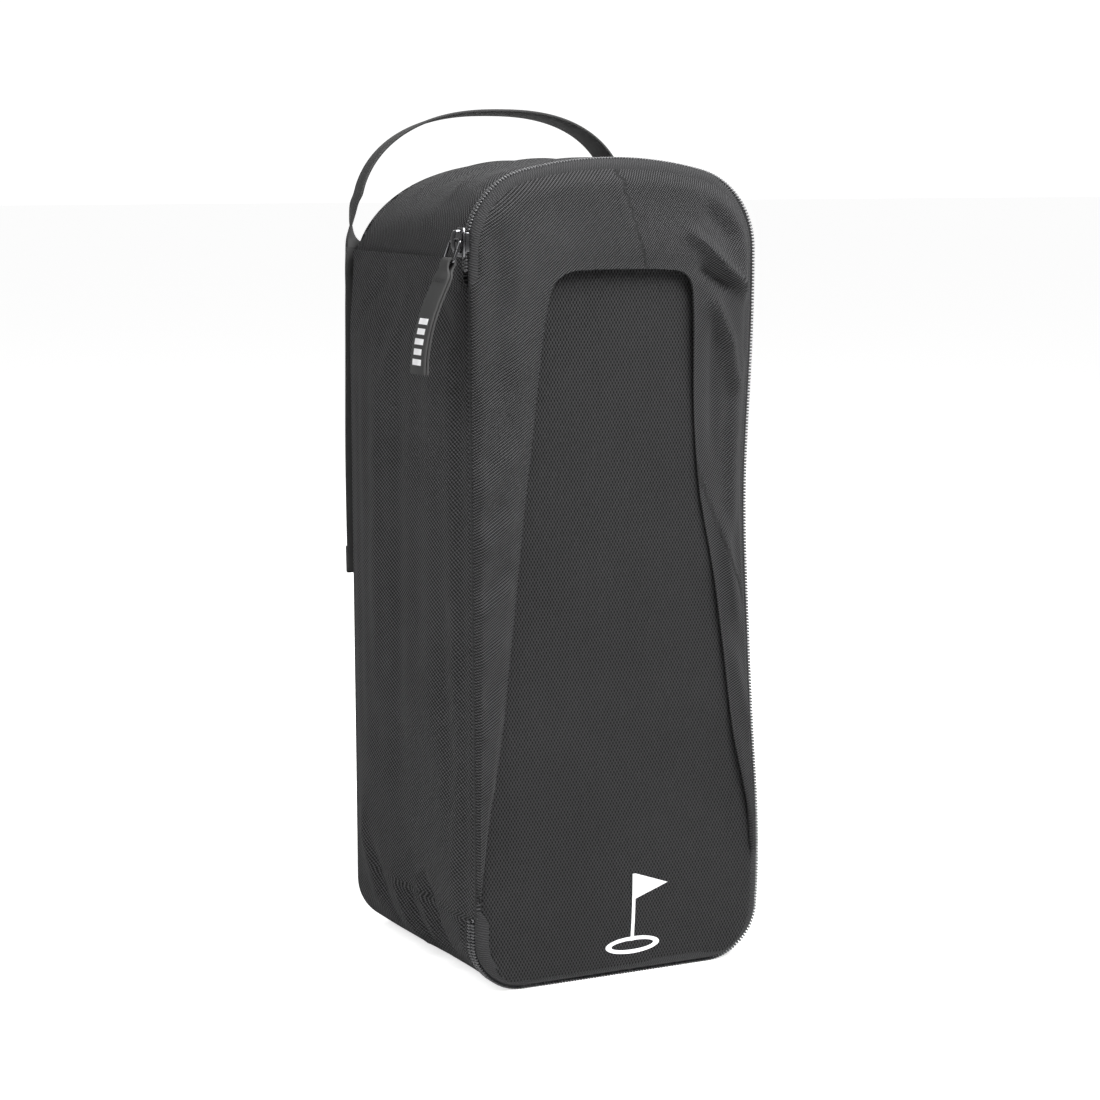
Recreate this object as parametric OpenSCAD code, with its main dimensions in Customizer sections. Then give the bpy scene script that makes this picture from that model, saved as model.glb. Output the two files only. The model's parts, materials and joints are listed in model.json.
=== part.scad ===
// Golf shoe bag: an upright fabric case with a zipped front door hinged on its left edge,
// a webbing carry handle over the top and a zip slider with a webbing pull tab.
// +Z is up, the front faces -Y, and the origin is the middle of the base, on the ground.

/* [Bag] */
// Overall width of the case
bag_w = 145; // [140:1:155]
// Overall depth from door face to back panel
bag_d = 132; // [126:1:145]
// Overall height of the case
bag_h = 375; // [360:1:390]
// Thickness of the padded fabric walls
wall = 2; // [1.6:0.1:2.4]
// Radius of the two lower corners
foot_r = 24; // [18:1:30]
// Radius of the upper corners of the door
shoulder_r = 36; // [32:1:40]
// Radius of the long arc across the top of the door
crown_r = 190; // [170:5:220]
// Height above the ground of the seam between top gusset and lower gusset
side_seam_z = 330; // [324:1:332]

/* [Door and zip] */
// Width of the smooth rim round the door face
rim_w = 5.5; // [4:0.5:7]
// Thickness of the foam layer behind the door face
foam_t = 2.8; // [2:0.1:3.5]
// Height of the lower end of the zip on the hinge side
zip_low_z = 33; // [28:1:38]
// Height of the upper end of the zip on the hinge side
zip_high_z = 327; // [321:1:328]
// Width of one half of the zip coil
coil_w = 2.6; // [2.2:0.1:3]

/* [Handle] */
// Width of the handle webbing
web_w = 16; // [14:1:18]
// Thickness of the handle webbing
web_t = 1.4; // [1.2:0.1:1.8]
// Height of the top of the handle arch above the ground
handle_top = 397; // [395:0.5:402]
// Height of the lower ends of the webbing on the back panel
strap_low_z = 176; // [155:1:205]

/* [Pull tab] */
// Width of the pull tab
tab_w = 15; // [13:1:16]
// Length of the pull tab
tab_l = 50; // [40:1:55]
// Lean of the ring and tab out from the bag
tab_lean = 20; // [15:1:25]

/* [Hidden] */
$fn = 32;

half_w = bag_w / 2;
half_d = bag_d / 2;
gap = 0.3;                       // clearance between the door and the fixed case
shell = "#3c3c3e";
weave = "#2c2c2e";
trim = "#1d1d1f";
metal = "#0d0d0f";

// Thicknesses of the thin layers
panel_t = 1.2;                   // centre panel fabric
overlay_t = 1.8;                 // padded overlay
lining_t = 0.8;
tape_t = 0.8;                    // zip tape
coil_t = 1.4;
board_t = 1.6;                   // base board
print_t = 0.2;
binding_w = 2.5;                 // how far a seam binding stands into the case
seam_gap = 0.3;                  // air under the strap tails, which lie on the back panel

// Depths of the layers, measured along Y
door_y = -half_d;                // face of the door rim
panel_y = door_y + 1;            // face of the centre panel
foam_y = panel_y + panel_t;
lining_y = foam_y + foam_t;
door_inner_y = lining_y + lining_t;
chain_y = door_y + 4.6;          // middle of the zip chain
gusset_y = chain_y + gap / 2 + coil_w + 0.8;   // front edge of the gussets
hinge_y = door_y + 2.3;          // front edge of the gusset along the hinge
back_y = half_d - wall;          // inner face of the back panel
liner_y0 = gusset_y + 8;         // front and back limits of the board and seam tapes
liner_y1 = back_y - 4;
slider_z = 339;                  // middle of the parked slider
slider_top_z = slider_z + 10;    // height above which both zip halves run free of the slider
binding_top = side_seam_z - 10;  // the bindings stop below the side seams
coil_in = 0.6;                   // inset of the coil below the outline

// Front outline: straight sides, small lower corners, large shoulders and a long crown arc
shoulder_x = half_w - shoulder_r;
crown_z = bag_h - crown_r;
shoulder_z = crown_z + sqrt(pow(crown_r - shoulder_r, 2) - pow(shoulder_x, 2));
crown_angle = atan2(shoulder_z - crown_z, shoulder_x);
function arc(cx, cz, r, a0, a1, n) =
    [for (k = [0 : n]) let (a = a0 + (a1 - a0) * k / n) [cx + r * cos(a), cz + r * sin(a)]];
function feet(i) = concat(arc(foot_r - half_w, foot_r, foot_r - i, 180, 270, 8),
                          arc(half_w - foot_r, foot_r, foot_r - i, 270, 360, 8));
function front_outline(i) = concat(feet(i),
    arc(shoulder_x, shoulder_z, shoulder_r - i, 0, crown_angle, 12),
    arc(0, crown_z, crown_r - i, crown_angle, 180 - crown_angle, 10),
    arc(-shoulder_x, shoulder_z, shoulder_r - i, 180 - crown_angle, 180, 12));

// Back outline: the same sides and feet under a plain half ellipse
back_rise = 50;
back_top = bag_h - 3;
function back_outline(i) = concat(feet(i),
    [for (k = [0 : 30]) let (a = 6 * k)
        [(half_w - i) * cos(a), back_top - back_rise + (back_rise - i) * sin(a)]]);

// Turns a flat XZ drawing into a slab between two depths
module slab(y0, y1) {
    translate([0, y1, 0]) rotate([90, 0, 0]) linear_extrude(y1 - y0) children();
}
module front_ring(outer, inner) {
    difference() { polygon(front_outline(outer)); polygon(front_outline(inner)); }
}
// Takes the hinge side, between two heights, out of a flat drawing
module cut_hinge_side(z0, z1) {
    difference() {
        children();
        translate([-bag_w, z0]) square([bag_w, z1 - z0]);
    }
}
// Keep the part of a flat drawing above or below a height
module above(z) intersection() {
    children();
    translate([-bag_w, z]) square([2 * bag_w, bag_h]);
}
module below(z) intersection() {
    children();
    translate([-bag_w, z - bag_h]) square([2 * bag_w, bag_h]);
}
// Flat outline of the door face inside its rim; on the hinge side it runs out to the seam
hinge_reach = 0.3;               // air between door and case along the hinge
face_over = 2;                   // overlap that joins the two parts of the door face
module door_face() {
    polygon(front_outline(rim_w));
    translate([hinge_reach - half_w, zip_low_z])
        square([rim_w + face_over, zip_high_z - zip_low_z]);
}
// Window in the overlay: narrow at the top, flaring to the full width near the base
window = [[-26, 324], [-31, 317], [-36, 294], [-39, 261], [-43, 224], [-52, 153], [-56, 121],
          [-63, 78], [-74, 54], [-74, -2], [74, -2], [74, 50], [64, 90], [58, 110], [55, 137],
          [53, 163], [49, 193], [44, 228], [41, 267], [39, 306], [38.5, 318], [33, 324]];

// ---- fixed case ----
module back_panel() color(shell) slab(back_y, half_d) polygon(back_outline(0));

lip_in = 2;                      // the hinge-side lip stops this far inside the zip's ends
module lower_gusset() color(shell) {
    slab(gusset_y, back_y) below(side_seam_z) front_ring(0, wall);
    slab(hinge_y, gusset_y) intersection() {
        front_ring(0, wall);
        translate([-bag_w, zip_low_z + lip_in])
            square([bag_w, zip_high_z - zip_low_z - 2 * lip_in]);
    }
}
loft_slice = 0.1;
module top_loft(i, over) {
    hull() {
        slab(gusset_y - over, gusset_y - over + loft_slice) above(side_seam_z - over)
            polygon(front_outline(i));
        slab(back_y + over - loft_slice, back_y + over) above(side_seam_z - over)
            polygon(back_outline(i));
    }
}
module top_gusset() color(shell) difference() { top_loft(0, 0); top_loft(wall, 1); }

seam_tape_w = 9;
seam_tape_t = 1;
module side_seam_tapes() color(trim) for (s = [-1, 1])
    translate([s * (half_w - wall - seam_tape_t / 2) - seam_tape_t / 2, liner_y0,
               side_seam_z - seam_tape_w])
        cube([seam_tape_t, liner_y1 - liner_y0, seam_tape_w]);

module back_binding() color(trim) slab(back_y - binding_w, back_y) below(binding_top)
    difference() { polygon(back_outline(wall)); polygon(back_outline(wall + binding_w)); }

tape_hem = 5;                    // width of zip tape sewn inside the gussets
front_binding_t = 1.6;
module front_binding() color(trim)
    slab(gusset_y + tape_hem + 0.4, gusset_y + tape_hem + 0.4 + front_binding_t)
        below(binding_top) cut_hinge_side(zip_low_z, side_seam_z)
            front_ring(wall, wall + binding_w);

hinge_binding_size = [1.2, 9];
hinge_binding_in = 10;           // the binding stops this far inside the zip's ends
module hinge_binding() color(trim)
    translate([wall - half_w, hinge_y + 0.4, zip_low_z + hinge_binding_in])
        linear_extrude(zip_high_z - zip_low_z - 2 * hinge_binding_in)
            square(hinge_binding_size);

module base_board() color(trim)
    translate([foot_r - half_w, liner_y0, wall])
        cube([bag_w - 2 * foot_r, liner_y1 - liner_y0, board_t]);

module zip_tape_body() color(trim) {
    slab(chain_y + gap / 2, gusset_y)
        cut_hinge_side(zip_low_z, slider_top_z) front_ring(wall, wall + tape_t);
    slab(gusset_y, gusset_y + tape_hem) below(side_seam_z)
        cut_hinge_side(zip_low_z, zip_high_z) front_ring(wall, wall + tape_t);
}
module zip_coil_body() color(trim) slab(chain_y + gap / 2, chain_y + gap / 2 + coil_w)
    cut_hinge_side(zip_low_z, slider_top_z) front_ring(coil_in, coil_in + coil_t);

stop_t = 1.6;
stop_h = 2;
module zip_end_stops() color(trim) for (z = [zip_low_z, zip_high_z - stop_h / 2])
    translate([coil_in / 2 - half_w, chain_y + gap / 2, z])
        cube([stop_t, coil_w, stop_h]);

strap_y = half_d + seam_gap;     // inner face of the strap tails
hem_h = 12;
root_free = 2;                   // the tails stop this far below the handle's turning roots
bartack = [web_w - 3, 0.6, 1.6];
bartack_pitch = 4;
module back_strap(s) {
    translate([s * strap_x - web_w / 2, strap_y, strap_low_z])
        cube([web_w, web_t, root_z - root_free - strap_low_z]);
}
module back_strap_left() color(trim) back_strap(-1);
module back_strap_right() color(trim) back_strap(1);
module strap_hems() color(trim) for (s = [-1, 1])
    translate([s * strap_x - web_w / 2, strap_y + web_t, strap_low_z])
        cube([web_w, web_t, hem_h]);
module handle_bartacks() color("#151517") for (s = [-1, 1], k = [0 : 1])
    translate([s * strap_x - bartack.x / 2, strap_y + web_t, root_z - 10 + bartack_pitch * k])
        cube(bartack);

// ---- door ----
module door_center_panel() color(weave) slab(panel_y, foam_y) door_face();
module door_overlay() color(shell) slab(panel_y - overlay_t, panel_y)
    difference() { door_face(); polygon(window); }
module door_rim() color(shell) slab(door_y, foam_y) difference() {
    polygon(front_outline(hinge_reach));
    door_face();
}
foam_in = rim_w + 1;             // inset of foam and lining from the outline
module door_foam() color("#4a4a4c") slab(foam_y, lining_y) polygon(front_outline(foam_in));
module door_lining() color(trim) slab(lining_y, door_inner_y) polygon(front_outline(foam_in));
module zip_tape_door() color(trim) slab(foam_y, chain_y - gap / 2)
    cut_hinge_side(zip_low_z, slider_top_z) front_ring(wall, wall + tape_t);
door_coil_w = 1.8;               // the part of the door's coil that stands clear of the rim
module zip_coil_door() color(trim) slab(chain_y - gap / 2 - door_coil_w, chain_y - gap / 2)
    cut_hinge_side(zip_low_z, slider_top_z) front_ring(coil_in, coil_in + coil_t);
// Plain golf flag with its cup, printed low on the centre panel
mark_at = [6, 14];               // middle of the cup, across and up
pole = [1.6, 32];
flag = [[0.6, 34], [17, 28], [0.6, 22]];
cup_r = 14;
cup_inner_r = 11;
module front_mark() color("white") slab(panel_y - print_t, panel_y) translate(mark_at) {
    translate([-1, 2]) square(pole);
    polygon(flag);
    difference() {
        scale([1, 0.28]) circle(cup_r);
        scale([1, 0.2]) circle(cup_inner_r);
    }
}

// ---- slider, ring and pull tab ----
slider_l = 13;
slider_x = -half_w - 0.5;        // inner face of the outer plate
plate_t = 1.5;
inner_plate_t = 1;
bridge_h = 4;
bridge_w = 3.2;
bridge_l = 10.5;
ring_x = slider_x - plate_t - 2.1;
ring_z = slider_z + 1;
wire_r = 0.7;
ring_l = 10;
module plate(x, t, y0, y1) {
    c = 1.4;                     // how far the plate's corners are cut back
    translate([x, 0, 0]) rotate([90, 0, 90]) linear_extrude(t)
        polygon([[y0 + c, slider_z - slider_l / 2], [y1 - c, slider_z - slider_l / 2],
                 [y1, slider_z - 4], [y1, slider_z + 4.5], [y1 - c, slider_z + slider_l / 2],
                 [y0 + c, slider_z + slider_l / 2], [y0, slider_z + 4.5], [y0, slider_z - 4]]);
}
module slider_body() color(metal) {
    plate(slider_x - plate_t, plate_t, chain_y - 4.4, chain_y + 4.4);
    plate(wall - half_w + coil_t, inner_plate_t, hinge_y + gap, gusset_y - 1.6);
    // The wedge that parts the two rows of coil joins the plates
    translate([slider_x - 0.1, chain_y - 1, slider_z - slider_l / 2 + 0.6])
        cube([wall + coil_t + 0.7, 2, 3]);
}
bridge_low = slider_z - 5;
module slider_bridge() color(metal) difference() {
    translate([slider_x - plate_t - bridge_h, chain_y - bridge_w / 2, bridge_low])
        cube([bridge_h, bridge_w, bridge_l]);
    translate([slider_x - plate_t - bridge_h + 1, chain_y - bridge_w, bridge_low + 1.2])
        cube([bridge_h, 2 * bridge_w, bridge_l - 2.5]);
    for (z = [0, bridge_l])
        translate([slider_x - plate_t - bridge_h, chain_y, bridge_low + z])
            rotate([0, 45, 0]) cube([2.2, 2 * bridge_w, 2.2], center = true);
}
// Places a shape drawn hanging straight down from the bridge at the lean of ring and tab
module leaning() {
    translate([ring_x, chain_y, ring_z]) rotate([0, tab_lean, 0]) children();
}
ring_w = 10.5;
module puller_ring() color(metal) leaning() {
    for (y = [-1, 1]) translate([0, y * ring_w / 2, -ring_l]) cylinder(h = ring_l, r = wire_r);
    for (z = [0, -ring_l]) translate([0, -ring_w / 2 - wire_r, z]) rotate([-90, 0, 0])
        cylinder(h = ring_w + 2 * wire_r, r = wire_r);
}
// The tab is one webbing folded over the ring's lower bar and stitched below the fold
tab_bar = wire_r + 0.15;         // inner radius of the fold
tab_half = tab_bar + web_t;
neck_l = 4;                      // narrow stretch between the fold and the full width
grip_w = ring_w - 2 * wire_r - 0.6;
bar_gap = 4.4;                   // pitch of the printed bars
bar_size = [9, 2.6];
stitch_t = 0.4;
module pull_tab() color(trim) leaning() translate([0, 0, -ring_l]) {
    difference() {
        translate([0, -grip_w / 2, 0]) rotate([-90, 0, 0]) cylinder(h = grip_w, r = tab_half);
        translate([0, -grip_w, 0]) rotate([-90, 0, 0]) cylinder(h = 2 * grip_w, r = tab_bar);
        translate([-tab_bar, -grip_w, -tab_half - 1]) cube([2 * tab_bar, 2 * grip_w, tab_half + 1]);
    }
    for (s = [-1, 1])
        translate([s * (tab_bar + web_t / 2) - web_t / 2, -grip_w / 2, -neck_l])
            cube([web_t, grip_w, neck_l]);
    translate([-tab_half, -tab_w / 2, -tab_l]) cube([2 * tab_half, tab_w, tab_l - neck_l]);
}
module pull_tab_print() color("white") leaning() for (k = [0 : 4])
    translate([-tab_half - print_t, -bar_size.x / 2, 4 - ring_l - tab_l + bar_gap * k])
        cube([print_t, bar_size.x, bar_size.y]);
module pull_tab_stitch() color("#101012") leaning()
    translate([-tab_half - stitch_t, -tab_w / 2 + 0.8, -ring_l - 9])
        cube([stitch_t, tab_w - 1.6, 1]);

// ---- handle ----
strap_x = half_w - web_w / 2;    // middle of each tail and root
root_z = 333;                    // height of the sewn roots
arch_z = 340;                    // centre height of the arch, a half ellipse
arch_a = half_w - 0.5;
arch_b = handle_top - arch_z;
arch_y = half_d - 5;
arch_start = 16;                 // angle at which the twisted legs meet the arch
// Stations of one leg: [x, y, z, turn], the webbing turning from flat on the back to edge-on
leg = [[strap_x, half_d + 1.5, root_z, 0], [strap_x + 3.6, half_d + 4, root_z + 5, 12],
       [strap_x + 7.4, half_d + 4, root_z + 10, 42], [strap_x + 8.6, half_d + 0.6, root_z + 15, 64],
       [strap_x + 7, half_d - 3.2, root_z + 19, 80]];
// Station on the arch: the roll turns the normal from one side, over the top, to the other
stations = concat(
    [for (p = leg) [[-p[0], p[1], p[2]], [cos(p[3]), sin(p[3]), 0], [-sin(p[3]), cos(p[3]), 0]]],
    [for (a = [180 - arch_start : -6 : arch_start])
        let (nx = arch_b * cos(a), nz = arch_a * sin(a), n = norm([nx, nz]))
        [[arch_a * cos(a), arch_y, arch_z + arch_b * sin(a)], [0, 1, 0], [nx / n, 0, nz / n]]],
    [for (k = [len(leg) - 1 : -1 : 0]) let (p = leg[k])
        [[p[0], p[1], p[2]], [-cos(p[3]), sin(p[3]), 0], [sin(p[3]), cos(p[3]), 0]]]);
function corner(s, w, t) = s[0] + s[1] * w * web_w / 2 + s[2] * t * web_t / 2;
module handle_strap() color(trim) {
    n = len(stations);
    points = [for (s = stations) each [corner(s, -1, -1), corner(s, 1, -1),
                                       corner(s, 1, 1), corner(s, -1, 1)]];
    sides = [for (k = [0 : n - 2], j = [0 : 3])
        let (a = 4 * k + j, b = 4 * k + (j + 1) % 4) each [[a, b, b + 4], [a, b + 4, a + 4]]];
    polyhedron(points, concat([[3, 2, 1, 0]], [for (f = sides) [f[0], f[1], f[2]]],
                              [[for (j = [0 : 3]) 4 * (n - 1) + j]]));
}

back_panel();
lower_gusset();
top_gusset();
side_seam_tapes();
back_binding();
front_binding();
hinge_binding();
base_board();
zip_tape_body();
zip_coil_body();
zip_end_stops();
back_strap_left();
back_strap_right();
strap_hems();
handle_bartacks();
door_center_panel();
door_overlay();
door_rim();
door_foam();
door_lining();
zip_tape_door();
zip_coil_door();
front_mark();
slider_body();
slider_bridge();
puller_ring();
pull_tab();
pull_tab_print();
pull_tab_stitch();
handle_strap();
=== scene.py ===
import json
import math

import bpy
from mathutils import Matrix, Vector, noise


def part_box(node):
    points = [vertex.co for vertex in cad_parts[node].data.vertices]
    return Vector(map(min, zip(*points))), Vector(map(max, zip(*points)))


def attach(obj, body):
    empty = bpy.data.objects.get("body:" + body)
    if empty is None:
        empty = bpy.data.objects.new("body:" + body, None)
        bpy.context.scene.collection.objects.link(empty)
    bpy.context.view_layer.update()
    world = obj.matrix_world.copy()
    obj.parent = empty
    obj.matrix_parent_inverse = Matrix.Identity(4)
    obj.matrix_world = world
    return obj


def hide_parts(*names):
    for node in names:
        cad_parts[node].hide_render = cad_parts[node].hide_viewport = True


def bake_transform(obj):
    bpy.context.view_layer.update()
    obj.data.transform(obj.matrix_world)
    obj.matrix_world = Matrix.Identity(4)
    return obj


bl_info = {
    "name": "Golf Shoe Bag",
    "version": (1, 0, 0),
    "blender": (4, 5, 0),
    "location": "3D View > Sidebar > Shoe Bag",
    "description": "Builds the cloth, zip, webbing and print of an upright golf shoe bag",
    "category": "Add Mesh",
}

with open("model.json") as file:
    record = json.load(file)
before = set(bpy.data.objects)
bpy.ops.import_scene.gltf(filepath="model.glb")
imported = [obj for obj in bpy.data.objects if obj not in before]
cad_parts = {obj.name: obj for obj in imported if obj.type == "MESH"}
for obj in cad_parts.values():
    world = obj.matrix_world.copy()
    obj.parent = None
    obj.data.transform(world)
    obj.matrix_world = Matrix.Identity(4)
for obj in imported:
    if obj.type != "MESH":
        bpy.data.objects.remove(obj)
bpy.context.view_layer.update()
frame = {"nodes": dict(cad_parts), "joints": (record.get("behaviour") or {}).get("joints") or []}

# Shapes are worked out in millimetres and scaled to metres when vertices are placed.
MM = 0.001


def node_mm(node):
    """Lowest and highest corner of a CAD node, in millimetres."""
    low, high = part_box(node)
    return low / MM, high / MM


CASE_HIGH = node_mm("lower_gusset")[1]
TOP_LOW, TOP_HIGH = node_mm("top_gusset")
PANEL_HIGH = node_mm("back_panel")[1]
RIM_LOW = node_mm("door_rim")[0]
HALF_W = CASE_HIGH.x                    # half the width of the case
FACE_Y = RIM_LOW.y                      # front of the door rim
GUSSET_Y = TOP_LOW.y                    # front edge of the gussets
BACK_Y = PANEL_HIGH.y                   # outer face of the back panel
SEAM_Z = CASE_HIGH.z + 2                # seam between lower and top gusset
CASE_H = TOP_HIGH.z                     # top of the crown
BACK_H = PANEL_HIGH.z                   # top of the back panel
BACK_RISE = 50                          # rise of the half ellipse that tops the back panel
ZIP_LOW_Z = node_mm("zip_end_stops")[0].z
ZIP_HIGH_Z = node_mm("zip_end_stops")[1].z - 1
CHAIN_Y = (node_mm("zip_coil_door")[1].y + node_mm("zip_coil_body")[0].y) / 2
ACROSS = Vector((0, 1, 0))              # across the pull tab, its ring and the bridge
MERGE = 1e-6                            # points closer than this, in metres, are one


def length(name, description, value):
    return bpy.props.FloatProperty(
        name=name, description=description, default=value, min=0, unit="LENGTH")


def colour(name, description, value):
    return bpy.props.FloatVectorProperty(
        name=name, description=description, default=value, size=3, min=0, max=1,
        subtype="COLOR")


class ShoeBagSizes(bpy.types.PropertyGroup):
    """Sizes of the bag's soft parts."""

    foot_radius: length("Foot Radius", "Radius of the two lower corners", 0.024)
    shoulder_radius: length("Shoulder Radius", "Radius of the door's upper corners", 0.036)
    crown_radius: length("Crown Radius", "Radius of the long arc over the door", 0.190)
    rim_width: length("Rim Width", "Width of the smooth rim round the door", 0.0055)
    cloth_thickness: length("Cloth Thickness", "Thickness of the padded walls", 0.002)
    overlay_lift: length("Overlay Lift", "How far the padded overlay swells over the panel", 0.0028)
    back_swell: length("Back Swell", "How far the back panel swells out", 0.0045)
    tooth_pitch: length("Tooth Pitch", "Spacing of the zip's teeth", 0.00146)
    webbing_width: length("Webbing Width", "Width of the carry handle", 0.016)
    webbing_thickness: length("Webbing Thickness", "Thickness of the carry handle", 0.0014)
    tab_width: length("Tab Width", "Width of the pull tab", 0.015)
    thread_pitch: length("Thread Pitch", "Spacing of the threads in the body cloth", 0.00036)


class ShoeBagColours(bpy.types.PropertyGroup):
    """Colours of the bag's finishes."""

    body_cloth: colour("Body Cloth", "Fine black body cloth", (0.028, 0.028, 0.029))
    panel_cloth: colour("Panel Cloth", "Coarse dotted centre cloth", (0.0120, 0.0120, 0.0125))
    webbing: colour("Webbing", "Handle and tab webbing", (0.042, 0.042, 0.043))
    tape: colour("Tape", "Zip tape and seam bindings", (0.016, 0.016, 0.017))
    coil: colour("Coil", "Nylon zip teeth", (0.085, 0.085, 0.088))
    metal: colour("Metal", "Dark polished slider and ring", (0.11, 0.11, 0.115))
    thread: colour("Thread", "Sewing thread", (0.014, 0.014, 0.015))
    print_white: colour("Print", "Printed mark", (0.86, 0.86, 0.87))
    lining: colour("Lining", "Lining cloth", (0.020, 0.020, 0.022))
    foam: colour("Foam", "Foam inside the door", (0.10, 0.10, 0.10))
    board: colour("Board", "Stiff board in the base", (0.026, 0.026, 0.027))
    floor: colour("Floor", "Studio floor", (0.90, 0.90, 0.90))


def sizes():
    return bpy.context.scene.shoe_bag_sizes


def colours():
    return bpy.context.scene.shoe_bag_colours


# ---------------------------------------------------------------- small maths

def smooth(low, high, x):
    """0 below low, 1 above high and an S curve between them."""
    t = min(1.0, max(0.0, (x - low) / (high - low)))
    return t * t * (3 - 2 * t)


def bell(x, middle, width):
    return math.exp(-((x - middle) / width) ** 2)


def mix(a, b, t):
    return a + (b - a) * t


def arc(centre, radius, start, end, steps=24):
    """Points of an arc in the XZ plane, with angles in degrees from +X."""
    angles = [math.radians(mix(start, end, k / steps)) for k in range(steps + 1)]
    return [Vector((centre[0] + radius * math.cos(a), centre[1] + radius * math.sin(a)))
            for a in angles]


def curve_through(points, steps=8):
    """A smooth run of points through the given ones."""
    ends = [points[0] * 2 - points[1]] + list(points) + [points[-1] * 2 - points[-2]]
    run = []
    for k in range(1, len(ends) - 2):
        a, b, c, d = ends[k - 1:k + 3]
        for j in range(steps):
            t = j / steps
            run.append(0.5 * (2 * b + (c - a) * t + (2 * a - 5 * b + 4 * c - d) * t ** 2
                              + (3 * b - a - 3 * c + d) * t ** 3))
    return run + [points[-1].copy()]


class Route:
    """A line of points that can be asked for its place and direction at a share of its length."""

    def __init__(self, points):
        self.points = [p for k, p in enumerate(points) if k == 0 or (p - points[k - 1]).length > 1e-6]
        self.marks = [0.0]
        for a, b in zip(self.points, self.points[1:]):
            self.marks.append(self.marks[-1] + (b - a).length)
        self.length = self.marks[-1]

    def place(self, t):
        want = min(max(t, 0.0), 1.0) * self.length
        low, high = 0, len(self.marks) - 1
        while high - low > 1:
            middle = (low + high) // 2
            if self.marks[middle] <= want:
                low = middle
            else:
                high = middle
        step = self.marks[high] - self.marks[low]
        return self.points[low].lerp(self.points[high], (want - self.marks[low]) / step)

    def direction(self, t):
        d = 1.2 / self.length
        return (self.place(min(1, t + d)) - self.place(max(0, t - d))).normalized()


# ---------------------------------------------------------------- the bag's outlines

def outline():
    """The door's outline, clockwise from the hinge-side seam, over the top and back up to it."""
    s = sizes()
    foot, shoulder, crown = s.foot_radius / MM, s.shoulder_radius / MM, s.crown_radius / MM
    side_x, crown_z = HALF_W - shoulder, CASE_H - crown
    shoulder_z = crown_z + math.sqrt((crown - shoulder) ** 2 - side_x ** 2)
    lean = math.degrees(math.atan2(shoulder_z - crown_z, side_x))
    points = [Vector((-HALF_W, SEAM_Z))]
    points += arc((-side_x, shoulder_z), shoulder, 180, 180 - lean)
    points += arc((0, crown_z), crown, 180 - lean, lean)
    points += arc((side_x, shoulder_z), shoulder, lean, 0)
    points += arc((HALF_W - foot, foot), foot, 0, -90)
    points += arc((foot - HALF_W, foot), foot, 270, 180)
    return Route(points + [Vector((-HALF_W, SEAM_Z))])


def share_at(route, x, z):
    """The share of the route's length at which it passes closest to a point."""
    steps = 1200
    return min(range(steps + 1), key=lambda k: (route.place(k / steps) - Vector((x, z))).length) / steps


def edge_point(route, t, inset):
    """A point of the outline moved inwards, for any t, as the outline is closed."""
    t = t % 1.0
    middle = route.place(t)
    d = route.direction(t)
    if t < 0.002 or t > 0.998:
        d = Vector((0, 1))
    return middle + Vector((d.y, -d.x)) * inset


def back_upper():
    """The back panel's arched top between the two side seams."""
    start = math.degrees(math.asin((SEAM_Z - BACK_H + BACK_RISE) / BACK_RISE))
    angles = [math.radians(mix(180 - start, start, k / 60)) for k in range(61)]
    return Route([Vector((HALF_W * math.cos(a), BACK_H - BACK_RISE + BACK_RISE * math.sin(a)))
                  for a in angles])


def half_width(z, back=False, inset=0.0):
    """Half the width of the door or back outline at a height."""
    s = sizes()
    foot, shoulder, crown = s.foot_radius / MM, s.shoulder_radius / MM, s.crown_radius / MM
    wide = HALF_W - inset
    if z < foot:
        r = foot - inset
        return wide - r + math.sqrt(max(0.0, r * r - (foot - max(z, inset)) ** 2))
    if back:
        base = BACK_H - BACK_RISE
        share = min(1.0, max(0.0, (z - base) / (BACK_RISE - inset)))
        return wide * math.sqrt(1 - share * share)
    side_x, crown_z = HALF_W - shoulder, CASE_H - crown
    shoulder_z = crown_z + math.sqrt((crown - shoulder) ** 2 - side_x ** 2)
    if z < shoulder_z:
        return wide
    touch_z = crown_z + (shoulder_z - crown_z) * crown / (crown - shoulder)
    if z < touch_z:
        r = shoulder - inset
        return side_x + math.sqrt(max(0.0, r * r - (z - shoulder_z) ** 2))
    r = crown - inset
    return math.sqrt(max(0.0, r * r - (min(z, crown_z + r) - crown_z) ** 2))


def slump(p):
    """How the soft bag stands: the door's free side waists in at mid height and spreads near the
    base, and the hinge side leans a little in front and swells behind. All in millimetres."""
    front = 1 - smooth(-40, 66, p.y) * 0.7
    right = 5.6 * bell(p.z, 48, 62) - 3.6 * bell(p.z, 222, 62) - 0.6 * bell(p.z, 360, 30)
    left = 0.4 + 2.6 * (1 - p.z / CASE_H)
    left -= 4.6 * smooth(-30, 66, p.y) * (1 - smooth(290, 330, p.z))
    share = max(-1.1, min(1.1, p.x / HALF_W))
    shift = mix(left * (0.3 + 0.7 * front), right * front, (share + 1) / 2)
    return Vector((p.x + shift, p.y, p.z))


# ---------------------------------------------------------------- making meshes

def deselect():
    if bpy.context.object and bpy.context.object.mode != "OBJECT":
        bpy.ops.object.mode_set(mode="OBJECT")
    for obj in list(bpy.context.selected_objects):
        obj.select_set(False)


def activate(obj):
    deselect()
    obj.select_set(True)
    bpy.context.view_layer.objects.active = obj


def edit(obj, *steps):
    """Runs mesh operators on all of a piece in edit mode."""
    activate(obj)
    bpy.ops.object.mode_set(mode="EDIT")
    bpy.ops.mesh.select_mode(type="VERT")
    bpy.ops.mesh.select_all(action="SELECT")
    for step in steps:
        step()
    bpy.ops.object.mode_set(mode="OBJECT")


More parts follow.
